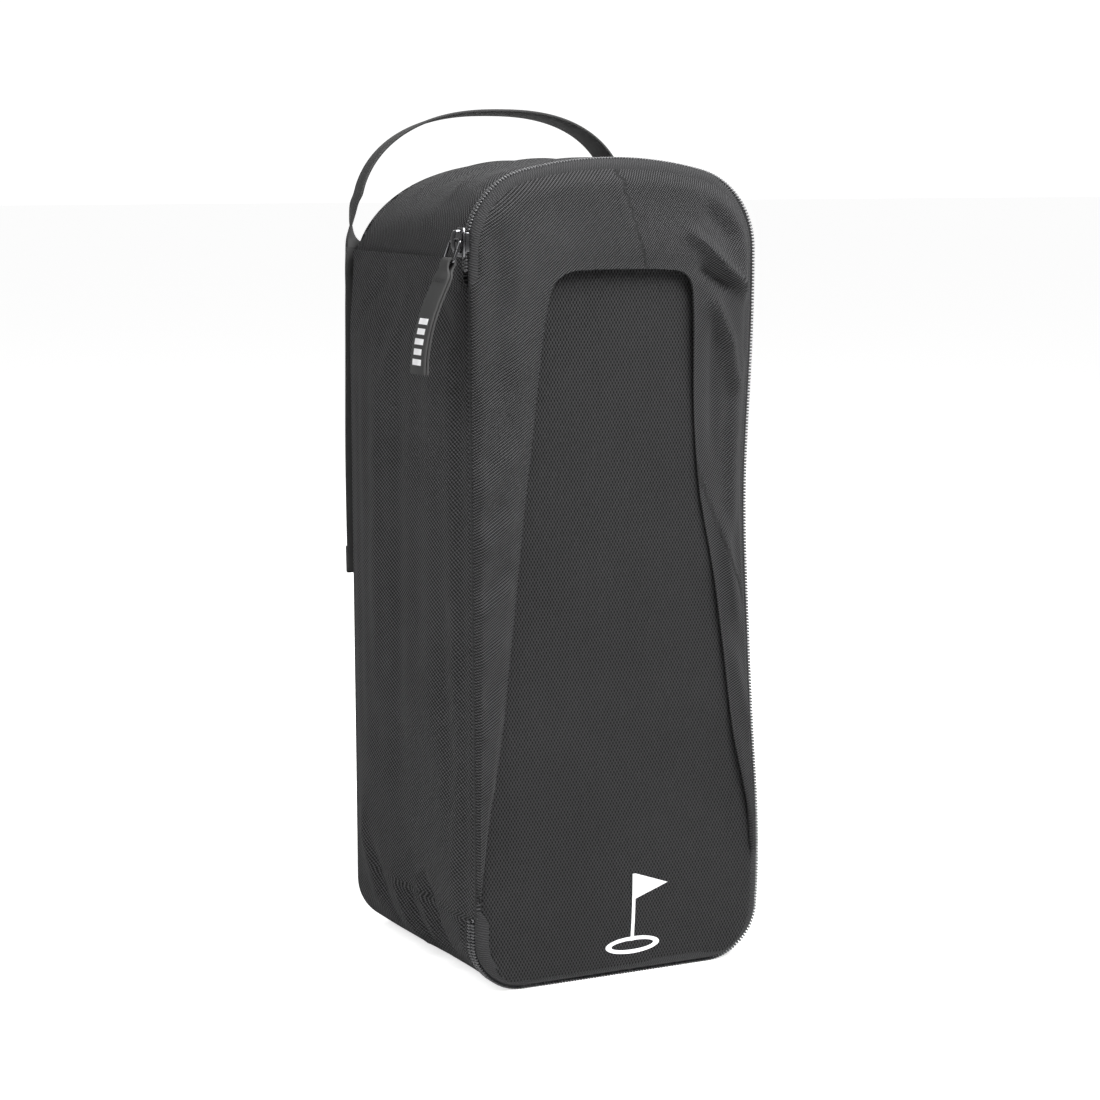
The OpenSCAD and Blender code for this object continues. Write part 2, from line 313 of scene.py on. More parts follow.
def apply_modifier(obj, kind, **settings):
    activate(obj)
    modifier = obj.modifiers.new(kind.title(), kind)
    for key, value in settings.items():
        setattr(modifier, key, value)
    bpy.ops.object.modifier_apply(modifier=modifier.name)


def face_out():
    bpy.ops.mesh.normals_make_consistent(inside=False)


def patch(name, cells_u, cells_v, place, cloth=None, closed=False, flip=False):
    """A grid of cloth. place(u, v) gives each point in millimetres, and cloth(u, v) its place on
    the flat cloth, in millimetres, which the weave follows."""
    deselect()
    bpy.ops.mesh.primitive_grid_add(
        x_subdivisions=cells_u, y_subdivisions=cells_v, size=1, location=(0.5, 0.5, 0))
    obj = bpy.context.object
    obj.name = obj.data.name = name
    bpy.ops.object.transform_apply(location=True, rotation=True, scale=True)
    mesh = obj.data
    mesh.uv_layers[0].name = "cloth"
    if cloth:
        for corner in mesh.uv_layers[0].data:
            corner.uv = Vector(cloth(corner.uv.x, corner.uv.y)) * MM
    for vertex in mesh.vertices:
        vertex.co = Vector(place(vertex.co.x, vertex.co.y)) * MM
    steps = []
    if closed:
        steps.append(lambda: bpy.ops.mesh.remove_doubles(threshold=MERGE))
    if flip:
        steps.append(bpy.ops.mesh.flip_normals)
    if steps:
        edit(obj, *steps)
    return obj


def as_cut(place):
    """Lays a sheet's weave out as it is seen from the front or the back."""
    return lambda u, v: place(u, v)[::2]


def thicken(obj, thickness):
    """Gives a sheet its thickness, in millimetres, on its inner side."""
    apply_modifier(obj, "SOLIDIFY", thickness=thickness * MM, offset=-1.0, use_even_offset=False)


def section(width, thickness, corner=4):
    """A closed section with round ends, as (across, up) pairs."""
    half, r = width / 2, thickness / 2
    points = []
    for side in (1, -1):
        for k in range(corner + 1):
            a = math.radians(mix(-90, 90, k / corner))
            points.append((side * (half - r + r * math.cos(a)), side * r * math.sin(a)))
    return points


def ribbon(name, stations, thickness, corner=4):
    """A strap along stations of (place, across, up, width), in millimetres."""
    count, around = len(stations) - 1, 2 * (corner + 1)
    lengths = [0.0]
    for a, b in zip(stations, stations[1:]):
        lengths.append(lengths[-1] + (b[0] - a[0]).length)

    def place(u, v):
        middle, across, up, width = stations[round(v * count)]
        x, y = section(width, thickness, corner)[round(u * around) % around]
        return middle + across * x + up * y

    def cloth(u, v):
        k = round(v * count)
        return (section(stations[k][3], thickness, corner)[round(u * around) % around][0], lengths[k])

    obj = patch(name, around, count, place, cloth, closed=True)
    edit(obj, lambda: bpy.ops.mesh.fill_holes(sides=0), face_out)
    return obj


def frames_along(points, across):
    """(place, across, up) at each of a line of points, with a fixed direction across."""
    last, found = len(points) - 1, []
    for k, p in enumerate(points):
        d = (points[min(k + 1, last)] - points[max(k - 1, 0)]).normalized()
        up = across.cross(d).normalized()
        found.append((p, d.cross(up), up))
    return found


def copies(name, unit, places):
    """One mesh of many copies of a small unit, each turned and placed by a matrix in millimetres."""
    source = unit.data
    count = len(source.vertices)
    faces = [list(p.vertices) for p in source.polygons]
    points, all_faces = [], []
    for k, m in enumerate(places):
        points += [(m @ (v.co / MM)) * MM for v in source.vertices]
        all_faces += [[i + k * count for i in f] for f in faces]
    mesh = bpy.data.meshes.new(name)
    mesh.from_pydata(points, [], all_faces)
    obj = bpy.data.objects.new(name, mesh)
    bpy.context.scene.collection.objects.link(obj)
    bpy.data.objects.remove(unit)
    return obj


def turned(place, x, y, z):
    """A matrix that puts a unit's own axes along x, y and z at a place."""
    return Matrix((
        (x[0], y[0], z[0], place[0]), (x[1], y[1], z[1], place[1]),
        (x[2], y[2], z[2], place[2]), (0, 0, 0, 1)))


def thread_unit(length, radius):
    """One sewn stitch: a short round thread that dips at both ends."""
    deselect()
    bpy.ops.mesh.primitive_cylinder_add(
        vertices=6, radius=radius * MM, depth=length * MM, end_fill_type="NGON",
        rotation=(0, math.pi / 2, 0))
    obj = bpy.context.object
    bpy.ops.object.transform_apply(location=True, rotation=True, scale=True)
    half = length / 2 * MM
    for at in (-0.6, 0.0, 0.6):
        edit(obj, lambda: bpy.ops.mesh.bisect(plane_co=(at * half, 0, 0), plane_no=(1, 0, 0)))
    for v in obj.data.vertices:
        end = (v.co.x / half) ** 4
        v.co.z -= 1.6 * radius * MM * end
        v.co.y *= 1 - 0.45 * end
    return obj


def stitches(name, points, up, stitch, gap, radius):
    """A row of stitches along a line of points on a face whose outward direction is up."""
    route = Route(points)
    count = max(1, int(route.length / (stitch + gap)))
    places = []
    for k in range(count):
        t = (k + 0.5) / count
        d = route.direction(t)
        side = up.cross(d).normalized()
        places.append(turned(route.place(t), d, side, d.cross(side).normalized()))
    return copies(name, thread_unit(stitch, radius), places)


def moved(obj, rule):
    """Moves every vertex by a rule in millimetres."""
    for vertex in obj.data.vertices:
        vertex.co = rule(vertex.co / MM) * MM
    obj.data.update()


def fitted_copy(node, name, heights=()):
    """A copy of a CAD node's mesh, merged and cut across, that can take the bag's slump."""
    mesh = frame["nodes"][node].data.copy()
    mesh.materials.clear()
    obj = bpy.data.objects.new(name, mesh)
    bpy.context.scene.collection.objects.link(obj)
    edit(obj, lambda: bpy.ops.mesh.remove_doubles(threshold=MERGE))
    for z in heights:
        edit(obj, lambda: bpy.ops.mesh.bisect(plane_co=(0, 0, z * MM), plane_no=(0, 0, 1)))
    return obj


def finish_piece(obj, body, material, stands_for=(), standing=True, angle=40):
    """Settles a piece into the bag's stance, and gives it its finish and its body."""
    if standing:
        moved(obj, slump)
    obj.data.materials.clear()
    obj.data.materials.append(material)
    activate(obj)
    bpy.ops.object.shade_smooth_by_angle(angle=math.radians(angle))
    if body:
        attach(obj, body)
    if stands_for:
        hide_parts(*stands_for)
    return obj


# ---------------------------------------------------------------- finishes

def socket(tree, value, target):
    """Links a socket to a target, or sets the target to a plain value."""
    if isinstance(value, bpy.types.NodeSocket):
        tree.links.new(value, target)
    else:
        target.default_value = value


def maths(tree, operation, *values):
    node = tree.nodes.new("ShaderNodeMath")
    node.operation = operation
    for value, target in zip(values, node.inputs):
        socket(tree, value, target)
    return node.outputs[0]


def times(tree, a, b):
    return maths(tree, "MULTIPLY", a, b)


def plus(tree, a, b):
    return maths(tree, "ADD", a, b)


def wave(tree, value, share=1.0):
    """Cosine of a share of a value."""
    return maths(tree, "COSINE", value if share == 1.0 else times(tree, value, share))


def ramp(tree, value, low, high):
    """0 to 1 as value goes from low to high, with soft ends."""
    node = tree.nodes.new("ShaderNodeMapRange")
    node.interpolation_type = "SMOOTHSTEP"
    socket(tree, value, node.inputs["Value"])
    node.inputs["From Min"].default_value = low
    node.inputs["From Max"].default_value = high
    return node.outputs["Result"]


def noise_of(tree, vector, scale, detail=2.0, roughness=0.5):
    node = tree.nodes.new("ShaderNodeTexNoise")
    node.inputs["Scale"].default_value = scale
    node.inputs["Detail"].default_value = detail
    node.inputs["Roughness"].default_value = roughness
    tree.links.new(vector, node.inputs["Vector"])
    return node.outputs["Fac"]


def new_group(name, inputs, outputs):
    """A shader node group with float inputs, one vector input and float outputs."""
    tree = bpy.data.node_groups.new(name, "ShaderNodeTree")
    tree.interface.new_socket("Vector", in_out="INPUT", socket_type="NodeSocketVector")
    for label, default in inputs:
        made = tree.interface.new_socket(label, in_out="INPUT", socket_type="NodeSocketFloat")
        made.default_value = default
    for label in outputs:
        tree.interface.new_socket(label, in_out="OUTPUT", socket_type="NodeSocketFloat")
    return tree, tree.nodes.new("NodeGroupInput"), tree.nodes.new("NodeGroupOutput")


def split(tree, vector):
    node = tree.nodes.new("ShaderNodeSeparateXYZ")
    tree.links.new(vector, node.inputs[0])
    return node.outputs[0], node.outputs[1]


def count_turns(tree, distance, pitch, turn=2 * math.pi):
    """An angle that grows by a turn at each pitch of a distance."""
    return times(tree, maths(tree, "DIVIDE", distance, pitch), turn)


def twill_group():
    """Fine twill: slanting ribs made of single threads. Its Shade output is painted shade: lighter on the
    raised ribs and darker in the grooves between them.
    """
    if "Twill" in bpy.data.node_groups:
        return bpy.data.node_groups["Twill"]
    tree, given, out = new_group("Twill", [("Pitch", 0.0004)], ["Height", "Shade"])
    x, y = split(tree, given.outputs["Vector"])
    across = count_turns(tree, x, given.outputs["Pitch"])
    along = count_turns(tree, y, given.outputs["Pitch"])
    ribs = wave(tree, maths(tree, "SUBTRACT", across, along), 0.25)
    cross = wave(tree, plus(tree, across, along), 0.33)
    threads = times(tree, wave(tree, across, 0.5), wave(tree, along, 0.5))
    height = plus(tree, times(tree, ribs, 0.27), times(tree, threads, 0.12))
    height = plus(tree, plus(tree, height, times(tree, cross, 0.22)), 0.5)
    tree.links.new(height, out.inputs["Height"])
    # Painted shade: the colour is darkened where the weave is low.
    tree.links.new(ramp(tree, height, 0.38, 0.74), out.inputs["Shade"])
    return tree


def dotted_group():
    """Coarse cloth with staggered rows of small pits, painted dark as shade in them through the Shade
    output.
    """
    if "Dotted Cloth" in bpy.data.node_groups:
        return bpy.data.node_groups["Dotted Cloth"]
    tree, given, out = new_group("Dotted Cloth", [("Column", 0.0008), ("Row", 0.00135)],
                                 ["Height", "Shade"])
    x, y = split(tree, given.outputs["Vector"])
    across = count_turns(tree, x, given.outputs["Column"], math.pi)
    along = count_turns(tree, y, given.outputs["Row"], math.pi)
    pits = times(tree, wave(tree, across), wave(tree, along))
    solid = ramp(tree, pits, 0.50, -0.30)
    tree.links.new(solid, out.inputs["Height"])
    # Painted shade: the pits are darkened in colour as well as lowered.
    tree.links.new(solid, out.inputs["Shade"])
    return tree


def ribbed_group():
    """Webbing: ribs across the strap and a firmer woven edge. Its Shade output is painted shade, darker
    between the ribs.
    """
    if "Webbing Ribs" in bpy.data.node_groups:
        return bpy.data.node_groups["Webbing Ribs"]
    tree, given, out = new_group("Webbing Ribs", [("Pitch", 0.0011)], ["Height", "Shade"])
    x, y = split(tree, given.outputs["Vector"])
    row = count_turns(tree, y, given.outputs["Pitch"])
    column = count_turns(tree, x, given.outputs["Pitch"])
    ribs = times(tree, wave(tree, row), plus(tree, times(tree, wave(tree, column), 0.4), 0.8))
    height = plus(tree, times(tree, ribs, 0.42), 0.5)
    tree.links.new(height, out.inputs["Height"])
    # Painted shade: the colour darkens between the ribs.
    tree.links.new(ramp(tree, height, 0.0, 1.0), out.inputs["Shade"])
    return tree


def wear_group():
    """Slow, faint changes of tone, as dust and handling leave on black cloth."""
    if "Cloth Tone" in bpy.data.node_groups:
        return bpy.data.node_groups["Cloth Tone"]
    tree, given, out = new_group("Cloth Tone", [], ["Tone", "Fuzz"])
    slow = noise_of(tree, given.outputs["Vector"], 16.0, 3.0, 0.55)
    fine = noise_of(tree, given.outputs["Vector"], 900.0, 2.0, 0.6)
    tree.links.new(ramp(tree, slow, 0.25, 0.75), out.inputs["Tone"])
    tree.links.new(fine, out.inputs["Fuzz"])
    return tree


def coordinates(tree, uv=True):
    if uv:
        node = tree.nodes.new("ShaderNodeUVMap")
        node.uv_map = "cloth"
        return node.outputs["UV"]
    return tree.nodes.new("ShaderNodeTexCoord").outputs["Object"]


def blank(name):
    """A material with only its Principled shader and output."""
    material = bpy.data.materials.new(name)
    material.use_nodes = True
    shader = material.node_tree.nodes["Principled BSDF"]
    return material, material.node_tree, shader


def tinted(tree, tint, factor, low, high):
    """A colour whose strength goes from low to high with factor."""
    node = tree.nodes.new("ShaderNodeMix")
    node.data_type = "RGBA"
    tree.links.new(factor, node.inputs[0])
    node.inputs[6].default_value = (*[c * low for c in tint], 1)
    node.inputs[7].default_value = (*[c * high for c in tint], 1)
    return node.outputs[2]


def raise_surface(tree, shader, height, strength, distance):
    """Feeds a height, through a Bump node, to a shader's normal."""
    lift = tree.nodes.new("ShaderNodeBump")
    lift.inputs["Strength"].default_value = strength
    lift.inputs["Distance"].default_value = distance
    tree.links.new(height, lift.inputs["Height"])
    tree.links.new(lift.outputs["Normal"], shader.inputs["Normal"])


def woven(name, tint, group, settings, contrast, roughness, bump, sheen=0.03):
    """A woven cloth: the weave's painted shade, lighter on raised threads and darker in grooves and pits,
    and its height, with a faint change of tone.
    """
    if name in bpy.data.materials:
        return bpy.data.materials[name]
    material, tree, shader = blank(name)
    weave = tree.nodes.new("ShaderNodeGroup")
    weave.node_tree = group
    tree.links.new(coordinates(tree), weave.inputs["Vector"])
    for label, value in settings:
        weave.inputs[label].default_value = value
    tone = tree.nodes.new("ShaderNodeGroup")
    tone.node_tree = wear_group()
    tree.links.new(coordinates(tree, uv=False), tone.inputs["Vector"])
    # Base colour follows the weave's Shade output: painted shade of the weave's relief, with random tone and
    # fuzz on top.
    factor = plus(tree, times(tree, weave.outputs["Shade"], 0.84), times(tree, tone.outputs["Tone"], 0.10))
    factor = plus(tree, factor, times(tree, tone.outputs["Fuzz"], 0.08))
    low, high = 1 - contrast, 1 + 1.35 * contrast
    tree.links.new(tinted(tree, tint, factor, low, high), shader.inputs["Base Color"])
    rough = maths(tree, "SUBTRACT", roughness, times(tree, weave.outputs["Shade"], 0.12))
    tree.links.new(rough, shader.inputs["Roughness"])
    shader.inputs["Sheen Weight"].default_value = sheen
    shader.inputs["Sheen Roughness"].default_value = 0.5
    shader.inputs["Specular IOR Level"].default_value = 0.16
    height = plus(tree, weave.outputs["Height"], times(tree, tone.outputs["Fuzz"], 0.35))
    raise_surface(tree, shader, height, bump, 0.0004)
    return material


def body_cloth():
    return woven("body cloth", colours().body_cloth, twill_group(),
                 [("Pitch", sizes().thread_pitch)], 1.0, 0.85, 1.0)


def wall_cloth():
    return woven("wall cloth", colours().body_cloth, twill_group(),
                 [("Pitch", sizes().thread_pitch * 1.45)], 1.0, 0.85, 1.0)


def panel_cloth():
    return woven("dotted panel cloth", colours().panel_cloth, dotted_group(), [], 1.0, 0.84, 1.0)


def rim_cloth():
    return woven("rim cloth", colours().body_cloth, twill_group(),
                 [("Pitch", 0.0003)], 0.4, 0.8, 0.5)


def webbing_cloth():
    return woven("webbing", colours().webbing, ribbed_group(), [("Pitch", 0.0011)], 0.5, 0.72, 0.8)


def tape_cloth():
    return woven("woven tape", colours().tape, ribbed_group(), [("Pitch", 0.0007)], 0.45, 0.8, 0.5)


def lining_cloth():
    return woven("lining cloth", colours().lining, twill_group(), [("Pitch", 0.00035)], 0.3, 0.6, 0.35)


def solid_finish(name, tint, roughness, grain, bump, coat=0.0, metallic=0.0, specular=0.5):
    """A smooth material with a fine grain in its colour, gloss and surface."""
    if name in bpy.data.materials:
        return bpy.data.materials[name]
    material, tree, shader = blank(name)
    where = coordinates(tree, uv=False)
    fine = noise_of(tree, where, grain, 3.0)
    slow = noise_of(tree, where, 60.0, 2.0)
    tree.links.new(tinted(tree, tint, ramp(tree, slow, 0.3, 0.7), 0.85, 1.15),
                   shader.inputs["Base Color"])
    rough = plus(tree, roughness, times(tree, maths(tree, "SUBTRACT", fine, 0.5), 0.18))
    tree.links.new(rough, shader.inputs["Roughness"])
    shader.inputs["Metallic"].default_value = metallic
    shader.inputs["Coat Weight"].default_value = coat
    shader.inputs["Coat Roughness"].default_value = 0.12
    shader.inputs["Specular IOR Level"].default_value = specular
    raise_surface(tree, shader, fine, bump, 0.0001)
    return material


def coil_nylon():
    return solid_finish("zip coil nylon", colours().coil, 0.28, 900.0, 0.1)


def slider_metal():
    return solid_finish("dark polished metal", colours().metal, 0.2, 700.0, 0.05, coat=0.3, metallic=1.0)


def sewing_thread():
    return solid_finish("sewing thread", colours().thread, 0.7, 2500.0, 0.6)


def white_print():
    return solid_finish("white print", colours().print_white, 0.55, 1200.0, 0.3)


def door_foam():
    return solid_finish("door foam", colours().foam, 0.9, 1500.0, 0.8)


def base_plastic():
    return solid_finish("base board plastic", colours().board, 0.5, 800.0, 0.3)


# ---------------------------------------------------------------- the door's faces

def crease(p, start, end, width, height):
    """A soft fold along a line in the face: highest on the line and fading towards its ends."""
    a, b = Vector(start), Vector(end)
    d = b - a
    t = (p - a).dot(d) / d.length_squared
    side = (p - a - d * max(0.0, min(1.0, t))).length
    fade = smooth(-0.15, 0.25, t) * (1 - smooth(0.75, 1.15, t))
    return height * fade * bell(side, 0, width)


def ripple(x, y, z, size, height):
    """Slow unevenness of slack cloth."""
    return height * noise.noise(Vector((x / size, y / size, z / size)))


def panel_surface(x, z):
    """Depth of the centre panel's face, in millimetres."""
    dome = (1 - (x / 80) ** 2) * smooth(-5, 90, z) * (1 - smooth(250, 335, z))
    foot = bell(z, 30, 40) * 0.9 + 0.8 * (1 - smooth(7, 17, z))
    return FACE_Y + 1.0 - 1.3 * dome - foot + ripple(x, 0, z, 60, 0.9)


# Window of the overlay from the hinge side's foot over the top to the free side's foot
WINDOW = [(-71.6, 44), (-69.2, 60), (-65.4, 80), (-58, 122), (-54, 154), (-45, 225), (-40.5, 262),
          (-37, 295), (-34, 313), (-31, 321), (-24, 325.5), (-12, 326.5), (8, 326.5), (25, 326),
          (34, 324.5), (38.5, 319), (39.5, 306), (41, 267), (44.5, 228), (49.5, 193), (53, 163),
          (55.5, 137), (58, 110), (62, 90), (66, 70), (67.2, 52)]
DART = ((0, 370), (10, 341))

# Soft folds in the overlay: start, end, half width and height in millimetres
OVERLAY_FOLDS = [
    ((44, 353), (60, 336), 5.0, -1.5), ((34, 344), (50, 331), 3.2, 1.9), ((46, 333), (66, 316), 3.0, 2.6),
    ((40, 327), (58, 317), 2.6, -2.0), ((47, 313), (58, 291), 3.2, 2.0), ((56, 295), (62, 270), 3.2, 2.2),
    ((62, 275), (62, 205), 3.2, 1.9), ((48, 306), (52, 240), 3.2, -1.2), ((57, 212), (64, 160), 3.2, 1.8),
    ((61, 150), (68, 110), 3.0, 1.2), ((66, 312), (67, 284), 2.6, -1.2),
    ((-62, 318), (-38, 352), 8.0, 1.3), ((-50, 300), (-38, 334), 5.0, -1.4),
    ((-70, 286), (-56, 300), 2.8, 1.9), ((-68, 262), (-44, 290), 4.0, 1.6),
    ((-70, 240), (-50, 262), 3.0, -1.5), ((-70, 226), (-52, 246), 2.8, 2.0),
    ((-70, 214), (-58, 226), 2.2, -1.5), ((-70, 202), (-52, 218), 2.4, 2.0),
    ((-70, 184), (-54, 198), 2.6, -1.5), ((-70, 172), (-54, 188), 2.4, 2.0),
    ((-70, 150), (-58, 164), 2.4, 1.8), ((-70, 136), (-58, 148), 2.2, -1.4),
    ((-70, 118), (-60, 130), 2.4, 1.8), ((-70, 90), (-64, 100), 2.2, 1.4),
]


def beside_hinge(z):
    """1 at the heights where the door is sewn to the case, 0 where the zip runs."""
    return smooth(ZIP_LOW_Z, ZIP_LOW_Z + 9, z) * (1 - smooth(ZIP_HIGH_Z - 9, ZIP_HIGH_Z, z))


def face_inset(x, z):
    """Width of the rim at a point of the outline: it closes up along the hinge."""
    rim = sizes().rim_width / MM
    return mix(rim, 0.8, beside_hinge(z)) if x < -HALF_W / 2 else rim


def rolled(p):
    """1 where the free side's rim turns away from the front and shows the teeth, else 0."""
    return smooth(HALF_W - 26, HALF_W - 4, p.x) * (0.55 + 0.45 * smooth(30, 90, p.y))


def window_shift(x, z):
    """Shift of the window's edge that makes up for the overlay's height over the panel."""
    if x < 0:
        return -1.6 * smooth(40, 90, z)
    return mix(2.0, -0.4, smooth(190, 245, z)) * smooth(60, 110, z) - 1.0 * smooth(290, 320, z)


def splayed(p):
    """1 at the zip's lower end on the hinge side, where the gusset gapes and shows both rows."""
    return (1 - smooth(-58, -30, p.x)) * (1 - smooth(36, 60, p.y))


def overlay_lines(edge):
    """The overlay's outer line, along the rim, and its inner line, round the window."""
    outer = []
    low = share_at(edge, -HALF_W, WINDOW[0][1]) - 1
    high = share_at(edge, HALF_W, WINDOW[-1][1])
    for k in range(241):
        t = mix(low, high, k / 240)
        at = edge_point(edge, t, 0)
        outer.append(edge_point(edge, t, 0.62 * face_inset(at.x, at.y)))
    inner = curve_through([Vector((x + window_shift(x, z), z)) for x, z in WINDOW], 6)
    return Route(outer), Route(inner)


def matched(outer, inner):
    """For each share of the outer line, the share of the inner line that faces it: the two are
    tied at the window's upper corners."""
    ties = [(0.0, 0.0)]
    for corner, beyond in (((-33, 318), (-60, 352)), ((38, 320), (60, 352))):
        ties.append((share_at(outer, *beyond), share_at(inner, *corner)))
    ties.append((1.0, 1.0))

    def inner_share(t):
        for (a, b), (c, d) in zip(ties, ties[1:]):
            if t <= c:
                return mix(b, d, (t - a) / (c - a))
        return 1.0
    return inner_share


def overlay_height(x, z, v):
    """How far the overlay stands out of the rim's face, in millimetres. It stays low beside the
    pull tab, so that the open door clears it."""
    low = (1 - smooth(-62, -50, x)) * smooth(262, 285, z) * (1 - smooth(338, 352, z))
    lift = sizes().overlay_lift / MM
    over = smooth(0.0, 0.16, v) * (1 - 0.25 * smooth(0.75, 1.0, v))
    top = smooth(250, 330, z)
    high = over * (1.2 + lift * (0.45 + 0.75 * top))
    p = Vector((x, z))
    fade = smooth(0.0, 0.12, v) * (1 - 0.4 * smooth(0.85, 1.0, v))
    for start, end, width, height in OVERLAY_FOLDS:
        if start[0] < 0:
            width, height = width * 1.45, height * 0.5
        high += 1.7 * crease(p, start, end, width, height) * fade
    a, b = Vector(DART[0]), Vector(DART[1])
    d = (b - a).normalized()
    t = (p - a).dot(d)
    side = (p - a).dot(Vector((-d.y, d.x)))
    along = smooth(-2, 2, t) * (1 - smooth(22, 33, t))
    high -= along * 1.1 * math.exp(-abs(side) / 1.3)
    high += along * 0.5 * bell(side, -3.5, 3.0)
    return mix(high + ripple(x, 3, z, 26, 0.7) * fade, 0.8, low * 0.85)


class SHOEBAG_OT_door_overlay(bpy.types.Operator):
    """Makes the padded overlay round the door's centre panel"""

    bl_idname = "shoebag.door_overlay"
    bl_label = "Door Overlay"

    def execute(self, context):
        edge = outline()
        outer, inner = overlay_lines(edge)
        inner_share = matched(outer, inner)
        tuck_from = 0.92        # share of the width at which the cloth turns under round the window

        def flat_point(u, v):
            a, b = outer.place(u), inner.place(inner_share(u))
            return a.lerp(b, v)

        def place(u, v):
            spread = min(1.0, v / tuck_from)
            p = flat_point(u, spread)
            high = overlay_height(p.x, p.y, spread)
            y = FACE_Y - high
            if v > tuck_from:
                tuck = (v - tuck_from) / (1 - tuck_from)
                a, b = outer.place(u), inner.place(inner_share(u))
                back = (a - b).normalized() * min(2.2, (a - b).length * 0.3)
                y = mix(y, panel_surface(p.x, p.y) - 0.1, 1 - math.cos(tuck * math.pi / 2))
                p = p + back * (tuck ** 3) - back.normalized() * 0.5 * math.sin(tuck * math.pi)
            if v < 0.001:
                y = FACE_Y + 0.6
            return (p.x, y, p.y)

        def cloth(u, v):
            p = flat_point(u, v)
            a, b = Vector(DART[0]), Vector(DART[1])
            d = (b - a).normalized()
            turn = math.radians(6 if (p - a).dot(Vector((-d.y, d.x))) < 0 else -9)
            return (p.x * math.cos(turn) - p.y * math.sin(turn),
                    p.x * math.sin(turn) + p.y * math.cos(turn))

        obj = patch("overlay_cloth", 300, 26, place, cloth, flip=True)
        thicken(obj, 0.9)
        finish_piece(obj, "door", body_cloth(), ["door_overlay"])
        return {"FINISHED"}


class SHOEBAG_OT_door_panel(bpy.types.Operator):
    """Makes the recessed centre panel of coarse dotted cloth"""

    bl_idname = "shoebag.door_panel"
    bl_label = "Door Centre Panel"

    def execute(self, context):
        rim = 0.62 * sizes().rim_width / MM
        low, high = rim - 0.5, CASE_H - rim + 0.5

        def place(u, v):
            z = mix(low, high, 0.5 - 0.5 * math.cos(math.pi * v))
            right = half_width(z, inset=rim - 0.5)
            x = mix(-right - (rim - 1.2) * beside_hinge(z), right, u)
            edge = max(smooth(0.97, 1.0, abs(2 * u - 1)), 1 - smooth(low, low + 2.2, z))
            return (x, panel_surface(x, z) + 1.7 * edge, z)

        obj = patch("centre_panel_cloth", 60, 130, place, as_cut(place))
        thicken(obj, 1.0)
        finish_piece(obj, "door", panel_cloth(), ["door_center_panel"])
        return {"FINISHED"}


class SHOEBAG_OT_door_rim(bpy.types.Operator):
    """Makes the smooth rim band round the door"""

    bl_idname = "shoebag.door_rim"
    bl_label = "Door Rim"

    def execute(self, context):
        edge = outline()
        # Each profile point: share of the rim's width from the outline, extra inset, depth
        profile = [(1, 1.2, 2.2), (1, 0.7, 0.9)]
        for k in range(9):
            a = math.radians(90 * k / 8)
            profile.append((1 - math.sin(a), 0.15 * math.cos(a), 2.6 * (1 - math.cos(a)) - 0.15))
        profile += [(0, 0.3, 3.0), (0, 1.4, 3.1)]

        def place(u, v):
            share, extra, depth = profile[round(v * (len(profile) - 1))]
            at = edge_point(edge, u, 0)
            wide = face_inset(at.x, at.y)
            shrink = min(1.0, 0.35 + wide / 6)
            roll = max(rolled(at), 1 - smooth(2, 24, at.y))
            p = edge_point(edge, u, wide * share + extra * shrink + 1.7 * roll * (1 - share))
            hinge = 1 - smooth(1.0, 2.5, wide)
            depth += 2.4 * hinge
            pucker = 0.12 * noise.noise(Vector((u * 90, v * 2, 0)))
            return (p.x, FACE_Y + depth * shrink + pucker, p.y)

        def cloth(u, v):
            return (u * edge.length, v * 3)

        obj = patch("rim_cloth", 420, len(profile) - 1, place, cloth, closed=True)
        thicken(obj, 0.5)
        finish_piece(obj, "door", rim_cloth(), ["door_rim"], angle=60)
        return {"FINISHED"}


class SHOEBAG_OT_door_inside(bpy.types.Operator):
    """Makes the foam and the lining that back the door"""

    bl_idname = "shoebag.door_inside"
    bl_label = "Door Foam and Lining"

    def execute(self, context):
        foam = fitted_copy("door_foam", "foam_sheet", range(20, 361, 20))
        finish_piece(foam, "door", door_foam(), ["door_foam"])
        low, high = node_mm("door_lining")
        inset = HALF_W - high.x

        def place(u, v):
            z = mix(low.z + 0.2, high.z - 0.2, 0.5 - 0.5 * math.cos(math.pi * v))
            wide = half_width(z, inset=inset)
            x = mix(-wide, wide, u)
            edge = 1 - smooth(0.9, 1.0, abs(2 * u - 1)) * 0.8
            return (x, high.y + ripple(x, 9, z, 35, 0.6) * edge - 0.1, z)

        lining = patch("door_lining_cloth", 40, 90, place, as_cut(place), flip=True)
        thicken(lining, 0.6)
        finish_piece(lining, "door", lining_cloth(), ["door_lining"])
        return {"FINISHED"}


class SHOEBAG_OT_front_mark(bpy.types.Operator):
    """Prints the plain golf flag low on the centre panel"""

    bl_idname = "shoebag.front_mark"
    bl_label = "Front Mark"

    def execute(self, context):
        low, high = node_mm("front_mark")
        rows = [mix(low.z, high.z, k / 12) for k in range(1, 12)]
        obj = fitted_copy("front_mark", "flag_print", rows)
        moved(obj, lambda p: Vector((p.x, panel_surface(p.x, p.z) - (high.y - p.y) - 0.05, p.z)))
        finish_piece(obj, "door", white_print(), ["front_mark"], angle=1)
        return {"FINISHED"}


# ---------------------------------------------------------------- the fixed case

